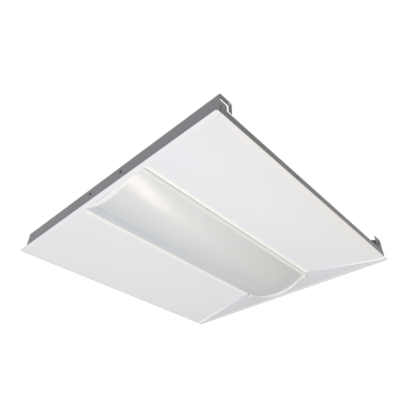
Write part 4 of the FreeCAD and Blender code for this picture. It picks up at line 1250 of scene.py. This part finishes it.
    def end_screws(self) -> None:
        """Black screws through both end walls."""
        low, high = self.shop.span("end_plate_screws")
        reach, height = high.y - self.head_radius, (low.z + high.z) / 2
        ends = []
        for end in (-1, 1):
            x = end * (high.x - self.head_height)
            template = self.screw("end_screw", self.end_shank, (float(end), 0.0, 0.0))
            ends.append(self.pair(f"end_row_{end}", template, (x, -reach, height), (x, reach, height),
                                  (self.end_turn, 0, 0), Seed.END_SCREWS.value + end, BLACK_SCREW))
        self.shop.fit(join_rows("end_screws", ends), Body.HOUSING, Slot.ZINC, "end_plate_screws")

    def upright_pair(self, name: str, node: str, body: Body, length: float, seed: Seed) -> None:
        """Two screws that stand on the middle line, head up.

        Args:
            name: Name of the pair.
            node: Solid that they replace.
            body: Body that they ride on.
            length: Length of the shank.
            seed: Seed of their turns.
        """
        low, high = self.shop.span(node)
        radius = self.head_radius
        z = high.z - self.head_height
        row = self.pair(name, self.screw(f"{name}_one", length, (0, 0, 1)), (low.x + radius, 0, z),
                        (high.x - radius, 0, z), (0, 0, self.turn), seed.value, FINISHES[Slot.ZINC])
        self.shop.fit(row, body, Slot.ZINC, node)

    def hanging_rows(self) -> None:
        """Small screws under the boards and the tray, head down."""
        zinc = FINISHES[Slot.ZINC]
        radius = self.small_radius
        low, high = self.shop.span("board_screws")
        z, rows = low.z + self.small_height, []
        for side, y in ((-1, low.y + radius), (1, high.y - radius)):
            template = self.screw("board_screw", self.board_shank, (0, 0, -1), True)
            rows.append(self.pair(f"board_row_{side}", template, (low.x + radius, y, z),
                                  (high.x - radius, y, z), (0, 0, self.turn),
                                  Seed.BOARD_SCREWS.value + side, zinc))
        self.shop.fit(join_rows("board_fixings", rows), Body.HOUSING, Slot.ZINC, "board_screws")
        low, high = self.shop.span("tray_screws")
        z = low.z + self.small_height
        template = self.screw("tray_screw", self.tray_shank, (0, 0, -1), True)
        tray = self.pair("tray_fixings", template, (low.x + radius, 0, z), (high.x - radius, 0, z),
                         (0, 0, self.turn), Seed.TRAY_SCREWS.value, zinc)
        self.shop.fit(tray, Body.HOUSING, Slot.ZINC, "tray_screws")

    def rivets(self) -> None:
        """Blind rivets of the box: dome with the broken mandrel in it, and the set tail."""
        low, high = self.shop.span("box_rivets")
        radius, dome = self.small_radius, self.small_height
        seat = high.z - dome
        shape = bmesh.new()
        profile = [(r, dome * h) for r, h in self.mandrel]
        profile += [(radius * math.cos(a), dome * math.sin(a)) for a in self.dome_angles]
        length = low.z - seat
        profile += [(self.small_shank * r, length * h) for r, h in self.tail]
        lathe(shape, profile, (0, 0, 0), (0, 0, 1), self.rivet_facets)
        row = self.pair("blind_rivets", mesh_object("rivet_one", shape), (low.x + radius, 0, seat),
                        (high.x - radius, 0, seat), (0, 0, self.rivet_turn), Seed.RIVETS.value,
                        FINISHES[Slot.RIVET])
        self.shop.fit(row, Body.HOUSING, Slot.RIVET, "box_rivets")

    def ground(self) -> None:
        """Green earth screw beside the terminal block."""
        low, high = self.shop.span("ground_screw")
        item = self.screw("earth_screw", high.z - low.z - self.head_height, (0, 0, 1))
        middle = (low + high) / 2
        seat = Vector((middle.x, middle.y, high.z - self.head_height))
        item.data.transform(Matrix.Translation(seat * MM))
        self.shop.fit(item, Body.HOUSING, Slot.GROUND, "ground_screw")

    def build(self) -> None:
        """Make every fastener."""
        self.end_screws()
        self.upright_pair("lid_screws", "cover_screws", Body.COVER, self.lid_shank, Seed.LID_SCREWS)
        self.upright_pair("driver_fixings", "driver_screws", Body.HOUSING, self.driver_shank,
                          Seed.DRIVER_SCREWS)
        self.hanging_rows()
        self.rivets()
        self.ground()


@dataclass
class LightEngine:
    """Tray, rails, boards with their traces, packages and plugs.

    Attributes:
        shop: Workshop that fits the pieces.
        rows: Maker of the packages' rows.
        edge: Width of a broken edge.
        led_pitch: Distance between packages.
        led_count: Number of packages on a board.
        led_size: Length, width and height of a package.
        led_edge: Rounding of its edges.
        led_body: Height of its white body as a share of its whole height.
        gel_height: Height of the gel's middle as such a share.
        gel_shares: Half the gel's length, width and height as shares of the package's.
        gel_facets: Parts of the gel's circles and of its height.
        led_turn: Largest turn of a package, in radians.
        trace_width: Width of a copper run.
        trace_height: How far it stands off the board.
        trace_inset: Distance of its ends from the board's.
        trace_root: How deep it starts in the board, and the rounding of its edges.
        pad_gap: Gap between a package and a run.
        plug_edge: Rounding of a plug's edges.
        plug_inset: Distance of its middle from the solid's side.
        latch: Length, width and height of its latch.
        latch_edge: Rounding of the latch.
        mouth: Length, width and height of the lip at each side of its mouth.
        mouth_reach: Distance of the lip's middle from the plug's.
        mouth_edge: Rounding of the lip.
        sunk: How deep latch and lip start in the plug.
    """

    shop: Workshop
    rows: RowMaker
    edge: float = 0.12
    led_pitch: float = 24.0
    led_count: int = 22
    led_size: Vec3 = (2.8, 3.5, 0.7)
    led_edge: float = 0.12
    led_body: float = 0.75
    gel_height: float = 0.7
    gel_shares: Vec3 = (0.38, 0.38, 0.28)
    gel_facets: tuple[int, int] = (20, 10)
    led_turn: float = 0.02
    trace_width: float = 3.2
    trace_height: float = 0.06
    trace_inset: float = 6.0
    trace_root: float = 0.02
    pad_gap: float = 0.35
    plug_edge: float = 0.35
    plug_inset: float = 4.5
    latch: Vec3 = (4.0, 3.2, 0.5)
    latch_edge: float = 0.25
    mouth: Vec3 = (1.4, 7.2, 0.25)
    mouth_reach: float = 3.1
    mouth_edge: float = 0.15
    sunk: float = 0.2

    def package(self) -> bpy.types.Object:
        """One package: white frame with a domed gel window.

        Returns:
            The package with its top at the origin.
        """
        length, width, height = self.led_size
        shape = bmesh.new()
        block(shape, (-length / 2, -width / 2, -height * self.led_body), (length / 2, width / 2, 0),
              self.led_edge)
        dome = bmesh.new()
        around, tall = self.gel_facets
        bmesh.ops.create_uvsphere(dome, u_segments=around, v_segments=tall, radius=1.0)
        half = [size * share for size, share in zip(self.led_size, self.gel_shares)]
        dome.transform(Matrix.Translation((0, 0, -height * self.gel_height)) @ Matrix.Diagonal((*half, 1.0)))
        merge(shape, dome)
        return mesh_object("led_template", shape)

    def board(self, word: str) -> None:
        """One board: solder mask with two raised copper runs under it.

        Args:
            word: Word for the side in the names.
        """
        node = f"led_board_{word}"
        low, high = self.shop.span(node)
        shape = self.shop.folded_copy(node, self.edge)
        middle, half, root = (low.y + high.y) / 2, self.trace_width / 2, self.trace_root
        for side in (-1, 1):
            y = middle + side * (self.led_size[1] + self.trace_width) / 2 + side * self.pad_gap
            block(shape, (low.x + self.trace_inset, y - half, low.z - self.trace_height),
                  (high.x - self.trace_inset, y + half, low.z + root), root, 1)
        self.shop.fit(mesh_object(f"board_{word}", shape), Body.HOUSING, Slot.BOARD, node)

    def packages(self, word: str) -> None:
        """The row of packages under one board.

        Args:
            word: Word for the side in the names.
        """
        node = f"led_packages_{word}"
        low, high = self.shop.span(node)
        start = (low.x + self.led_size[0] / 2, (low.y + high.y) / 2, high.z)
        row = self.rows.row(f"led_row_{word}", self.package(), self.led_count, start,
                            (self.led_pitch, 0, 0), (0, 0, self.led_turn), Seed.PACKAGES.value,
                            self.shop.book.get(FINISHES[Slot.LED]))
        self.shop.fit(row, Body.HOUSING, Slot.LED, node)

    def plugs(self) -> None:
        """Plugs on the tray's back, each with a latch and a lip round its mouth."""
        node = "board_connectors"
        low, high = self.shop.span(node)
        shape = self.shop.folded_copy(node, self.plug_edge, 2)
        x = (low.x + high.x) / 2
        for side in (-1, 1):
            y = side * (high.y - self.plug_inset)
            raised_block(shape, (x, y, high.z), self.latch, self.sunk, self.latch_edge)
            for step in (-1, 1):
                raised_block(shape, (x + step * self.mouth_reach, y, high.z), self.mouth, self.sunk,
                             self.mouth_edge)
        self.shop.fit(mesh_object("plugs", shape), Body.HOUSING, Slot.CONNECTOR, node)

    def build(self) -> None:
        """Make the light engine."""
        shop = self.shop
        for node, slot in (("led_tray", Slot.WHITE), ("lens_rail_left", Slot.RAIL),
                           ("lens_rail_right", Slot.RAIL), ("tray_standoffs", Slot.NYLON)):
            shape = shop.folded_copy(node, self.edge)
            shop.fit(mesh_object(f"formed_{node}", shape), Body.HOUSING, slot, node)
        for word in ("left", "right"):
            self.board(word)
            self.packages(word)
        self.plugs()


@dataclass
class Wiring:
    """Power supply, terminal block, bushing and slug.

    Attributes:
        shop: Workshop that fits the pieces.
        wire_pitch: Distance between the mains leads.
        lead_spacing: Distance between the LED leads.
        wire_height: Height of the leads.
        can_edge: Rounding of the can.
        seam: Radius of its seams and ribs.
        seam_facets: Parts of their section.
        seam_height: Height of the seams above the can's foot.
        seam_inset: Distance of their ends from the moulded ends.
        seam_proud: How far their middle stands off the flank.
        rib_inset: The same as the seams' inset, for the pressed ribs.
        rib_reach: Distance of the ribs from the middle.
        rib_sunk: Depth of their middle under the lid.
        end_edge: Rounding of a moulded end.
        collar: Profile of the collar round a lead, as radius and height.
        collar_facets: Parts of its circles.
        end_rib_reach: Distance of an end's ribs from the middle.
        end_rib_inset: Distance of their ends from the moulding's.
        end_rib: Width and height of such a rib.
        end_rib_edge: Rounding of such a rib.
        block_edge: Rounding of the terminal block.
        lever: Length, width and height of a release lever.
        lever_inset: Distance of a lever from the block's near face.
        lever_edge: Rounding of a lever.
        stop: Length, width and height of the test slot's rim behind a lever.
        stop_inset: Distance of its middle from the block's far face.
        way_rib: Width and height of the rib between two ways.
        way_rib_inset: Distance of that rib's ends from the block's.
        rib_edge: Rounding of the stops and of the ribs between the ways.
        sunk: How deep a raised form starts in its piece.
        slug_edge: Width of the slug's broken edge.
        slug_ring: Height of its pressed ring.
        slug_shares: Radii of the ring's profile as shares of the slug's.
        slug_facets: Parts of its circles.
        bushing_edge: Rounding of the bushing.
    """

    shop: Workshop
    wire_pitch: float = 8.0
    lead_spacing: float = 5.0
    wire_height: float = 59.3
    can_edge: float = 0.5
    seam: float = 0.5
    seam_facets: int = 8
    seam_height: float = 5.5
    seam_inset: float = 2.0
    seam_proud: float = 0.05
    rib_inset: float = 10.0
    rib_reach: float = 9.0
    rib_sunk: float = 0.1
    end_edge: float = 0.8
    collar: Profile = ((0.95, -0.5), (2.0, -0.5), (2.0, 0.5), (1.7, 0.8), (0.95, 0.8))
    collar_facets: int = 20
    end_rib_reach: float = 15.0
    end_rib_inset: float = 1.5
    end_rib: tuple[float, float] = (1.6, 0.5)
    end_rib_edge: float = 0.2
    block_edge: float = 0.4
    lever: Vec3 = (9.0, 5.6, 1.6)
    lever_inset: float = 3.0
    lever_edge: float = 0.5
    stop: Vec3 = (3.0, 2.4, 0.4)
    stop_inset: float = 6.5
    way_rib: tuple[float, float] = (0.8, 0.5)
    way_rib_inset: float = 1.0
    rib_edge: float = 0.15
    sunk: float = 0.2
    slug_edge: float = 0.15
    slug_ring: float = 0.35
    slug_shares: tuple[float, ...] = (0.8, 0.77, 0.72, 0.69)
    slug_facets: int = 48
    bushing_edge: float = 0.35

    def can(self) -> None:
        """The can with a rolled seam along each flank and two pressed ribs on its lid."""
        node = "driver_case"
        low, high = self.shop.span(node)
        shape = self.shop.folded_copy(node, self.can_edge, 3)
        first, last = self.shop.span("driver_cap_output")[1].x, self.shop.span("driver_cap_input")[0].x
        lines = ((self.seam_inset, high.y + self.seam_proud, low.z + self.seam_height),
                 (self.rib_inset, self.rib_reach, high.z - self.rib_sunk))
        for side in (-1, 1):
            for inset, y, z in lines:
                tube(shape, [(first + inset, side * y, z), (last - inset, side * y, z)], self.seam,
                     self.seam_facets)
        self.shop.fit(mesh_object("driver_can", shape), Body.HOUSING, Slot.DRIVER, node)

    def can_end(self, word: str, end: int, wires: tuple[float, ...]) -> None:
        """A moulded end with a collar round each lead and two ribs.

        Args:
            word: Word for the end in the names.
            end: Sign of the end along X.
            wires: Y of each lead.
        """
        node = f"driver_cap_{word}"
        low, high = self.shop.span(node)
        shape = self.shop.folded_copy(node, self.end_edge, 3)
        face = high.x if end > 0 else low.x
        for y in wires:
            lathe(shape, list(self.collar), (face, y, self.wire_height), (end, 0, 0), self.collar_facets)
        width, tall = self.end_rib
        place = (low.x + high.x) / 2
        for side in (-1, 1):
            raised_block(shape, (place, side * self.end_rib_reach, high.z),
                         (high.x - low.x - 2 * self.end_rib_inset, width, tall), self.sunk,
                         self.end_rib_edge)
        self.shop.fit(mesh_object(f"driver_end_{word}", shape), Body.HOUSING, Slot.DRIVER_CAP, node)

    def terminal(self) -> None:
        """Push-in block with three release levers and a rib between the ways."""
        node = "terminal_block"
        low, high = self.shop.span(node)
        shape = self.shop.folded_copy(node, self.block_edge, 2)
        for step in (-1, 0, 1):
            y = step * self.wire_pitch
            raised_block(shape, (low.x + self.lever_inset + self.lever[0] / 2, y, high.z), self.lever,
                         self.sunk, self.lever_edge, 3)
            raised_block(shape, (high.x - self.stop_inset, y, high.z), self.stop, self.sunk / 2,
                         self.rib_edge)
        width, tall = self.way_rib
        for step in (-0.5, 0.5):
            raised_block(shape, ((low.x + high.x) / 2, step * self.wire_pitch, high.z),
                         (high.x - low.x - 2 * self.way_rib_inset, width, tall), self.sunk / 2,
                         self.rib_edge)
        self.shop.fit(mesh_object("push_in_block", shape), Body.HOUSING, Slot.TERMINAL, node)

    def slug(self) -> None:
        """Knockout slug with a pressed ring."""
        node = "knockout_slug"
        low, high = self.shop.span(node)
        radius, middle = (high.z - low.z) / 2, (low + high) / 2
        back, front, edge = -(high.x - low.x) / 2, (high.x - low.x) / 2, self.slug_edge
        ring = [(radius * share, front + rise) for share, rise in
                zip(self.slug_shares, (0, self.slug_ring, self.slug_ring, 0))]
        shape = bmesh.new()
        lathe(shape, [(0, back), (radius - edge, back), (radius, back + edge), (radius, front - edge),
                      (radius - edge, front), *ring, (0, front)], tuple(middle), (-1, 0, 0),
              self.slug_facets)
        self.shop.fit(mesh_object("slug", shape), Body.HOUSING, Slot.STEEL, node)

    def bushing(self) -> None:
        """Snap bushing with a rounded collar."""
        node = "lead_bushing"
        shape = self.shop.folded_copy(node, self.bushing_edge, 3)
        self.shop.fit(mesh_object("snap_bushing", shape), Body.HOUSING, Slot.BUSHING, node)

    def build(self) -> None:
        """Make the wiring."""
        self.can()
        self.can_end("input", 1, (-self.wire_pitch, 0.0, self.wire_pitch))
        self.can_end("output", -1, (-self.lead_spacing / 2, self.lead_spacing / 2))
        self.terminal()
        self.slug()
        self.bushing()


class FrameFinisher:
    """Gives each solid of the frame its own finish."""

    def __init__(self, shop: Workshop) -> None:
        """Keep the workshop.

        Args:
            shop: Workshop that holds the frame.
        """
        self.shop = shop

    def build(self) -> None:
        """Set the material of every solid."""
        frame = self.shop.frame
        slots = {part["node"]: part["material_slot"] for part in frame["record"]["subparts"]}
        for name, node in frame["nodes"].items():
            node.data.materials.clear()
            node.data.materials.append(self.shop.book.get(self.shop.finish_of(Slot(slots[name]), (name,))))


# ---------------------------------------------------------------------- stage


@dataclass(frozen=True)
class Lamp:
    """One elliptical area lamp.

    Attributes:
        name: Name of the lamp.
        place: Where it stands, in metres.
        aim: Point that it is turned to, in metres.
        size: Its two diameters, in metres.
        power: Its power in watts.
        colour: Its colour as sRGB hex.
    """

    name: str
    place: Vec3
    aim: Vec3
    size: tuple[float, float]
    power: float
    colour: str


class Studio:
    """Floor, soft light, white surround and the camera of the photograph, in metres."""

    CAMERA_PLACE: Vec3 = (-0.60167, -0.56385, -0.48477)
    CAMERA_TURN: Vec3 = (127.0353, -0.2718, -47.2987)
    FOCAL_MM = 35.503
    SENSOR_MM = 36.0
    CLIP = (0.01, 50.0)
    FLOOR_HEIGHT = -1.9
    FLOOR_HALF_MM = 6000.0
    FLOOR_PARTS = 8
    # Painted floor: pale, matt and plain, so that it only holds a shadow.
    FLOOR = Finish("pale_floor", "f2f2f1", "efefee", (0.6, 0.7), mottle_mm=400.0, grain_mm=3.0,
                   grain=0.03)
    AMBIENT = 0.60
    AMBIENT_COLOUR = "fafbff"
    LAMPS = (
        Lamp("softbox_below", (0.27, -0.20, -1.2), (-0.1, 0, 0), (1.12, 0.22), 5.3, "fff6ec"),
        Lamp("key_front", (-0.97, -0.2, -1.28), (-0.1, 0, 0), (0.45, 0.45), 8.3, "fbfcff"),
        Lamp("softbox_above", (0.25, 0.3, 1.7), (0, 0, 0), (1.2, 1.2), 11.0, "fdfdff"),
    )

    def __init__(self, book: MaterialBook) -> None:
        """Keep the material book.

        Args:
            book: Maker of the floor's material and of the world's nodes.
        """
        self.book = book

    def floor(self) -> None:
        """A plain pale floor well below the hanging light."""
        shape = bmesh.new()
        bmesh.ops.create_grid(shape, x_segments=self.FLOOR_PARTS, y_segments=self.FLOOR_PARTS,
                              size=self.FLOOR_HALF_MM)
        item = mesh_object("floor", shape)
        item.location.z = self.FLOOR_HEIGHT
        item.data.materials.append(self.book.get(self.FLOOR))

    def lamps(self) -> None:
        """Place the area lamps."""
        for lamp in self.LAMPS:
            data = bpy.data.lights.new(lamp.name, "AREA")
            data.shape, data.energy = "ELLIPSE", lamp.power
            data.size, data.size_y = lamp.size
            data.color = srgb(lamp.colour)[:3]
            item = bpy.data.objects.new(lamp.name, data)
            item.location = lamp.place
            away = Vector(lamp.place) - Vector(lamp.aim)
            item.rotation_euler = away.to_track_quat("Z", "Y").to_euler()
            bpy.context.scene.collection.objects.link(item)

    def world(self) -> None:
        """Soft ambient light, and plain white where a view or a reflection passes the object."""
        world = bpy.data.worlds.new("soft_surround")
        bpy.context.scene.world = world
        world.use_nodes = True
        tree = world.node_tree
        tree.nodes.clear()
        add = self.book.add
        path = add(tree, "ShaderNodeLightPath")
        seen = add(tree, "ShaderNodeMath", operation="ADD",
                   links={0: path.outputs["Is Camera Ray"], 1: path.outputs["Is Glossy Ray"]})
        total = add(tree, "ShaderNodeMath", operation="ADD", use_clamp=True,
                    links={0: seen.outputs[0], 1: path.outputs["Is Transmission Ray"]})
        ambient = add(tree, "ShaderNodeBackground",
                      settings={"Color": srgb(self.AMBIENT_COLOUR), "Strength": self.AMBIENT})
        white = add(tree, "ShaderNodeBackground", settings={"Color": (1, 1, 1, 1), "Strength": 1.0})
        mixed = add(tree, "ShaderNodeMixShader",
                    links={0: total.outputs[0], 1: ambient.outputs[0], 2: white.outputs[0]})
        add(tree, "ShaderNodeOutputWorld", links={"Surface": mixed.outputs[0]})

    def camera(self) -> None:
        """Place the camera where the photograph was taken from."""
        data = bpy.data.cameras.new("camera")
        data.sensor_fit, data.sensor_width, data.lens = "HORIZONTAL", self.SENSOR_MM, self.FOCAL_MM
        data.clip_start, data.clip_end = self.CLIP
        item = bpy.data.objects.new("camera", data)
        item.location = self.CAMERA_PLACE
        item.rotation_euler = Euler([math.radians(a) for a in self.CAMERA_TURN], "XYZ")
        bpy.context.scene.collection.objects.link(item)
        bpy.context.scene.camera = item

    def build(self) -> None:
        """Set the stage."""
        self.floor()
        self.lamps()
        self.world()
        self.camera()
        bpy.context.scene.view_settings.view_transform = "Standard"


def main() -> None:
    """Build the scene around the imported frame."""
    logging.basicConfig(level=logging.INFO, format="%(name)s: %(message)s")
    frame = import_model()
    shop = Workshop(frame)
    FrameFinisher(shop).build()
    rows = RowMaker()
    SheetMetal(shop).build()
    WhiteReflectors(shop).build()
    LensAssembly(shop).build()
    Fasteners(shop, rows).build()
    LightEngine(shop, rows).build()
    Wiring(shop).build()
    Studio(shop.book).build()
    LOG.info("%d dressed pieces", len(shop.made))


if __name__ == "__main__":
    main()
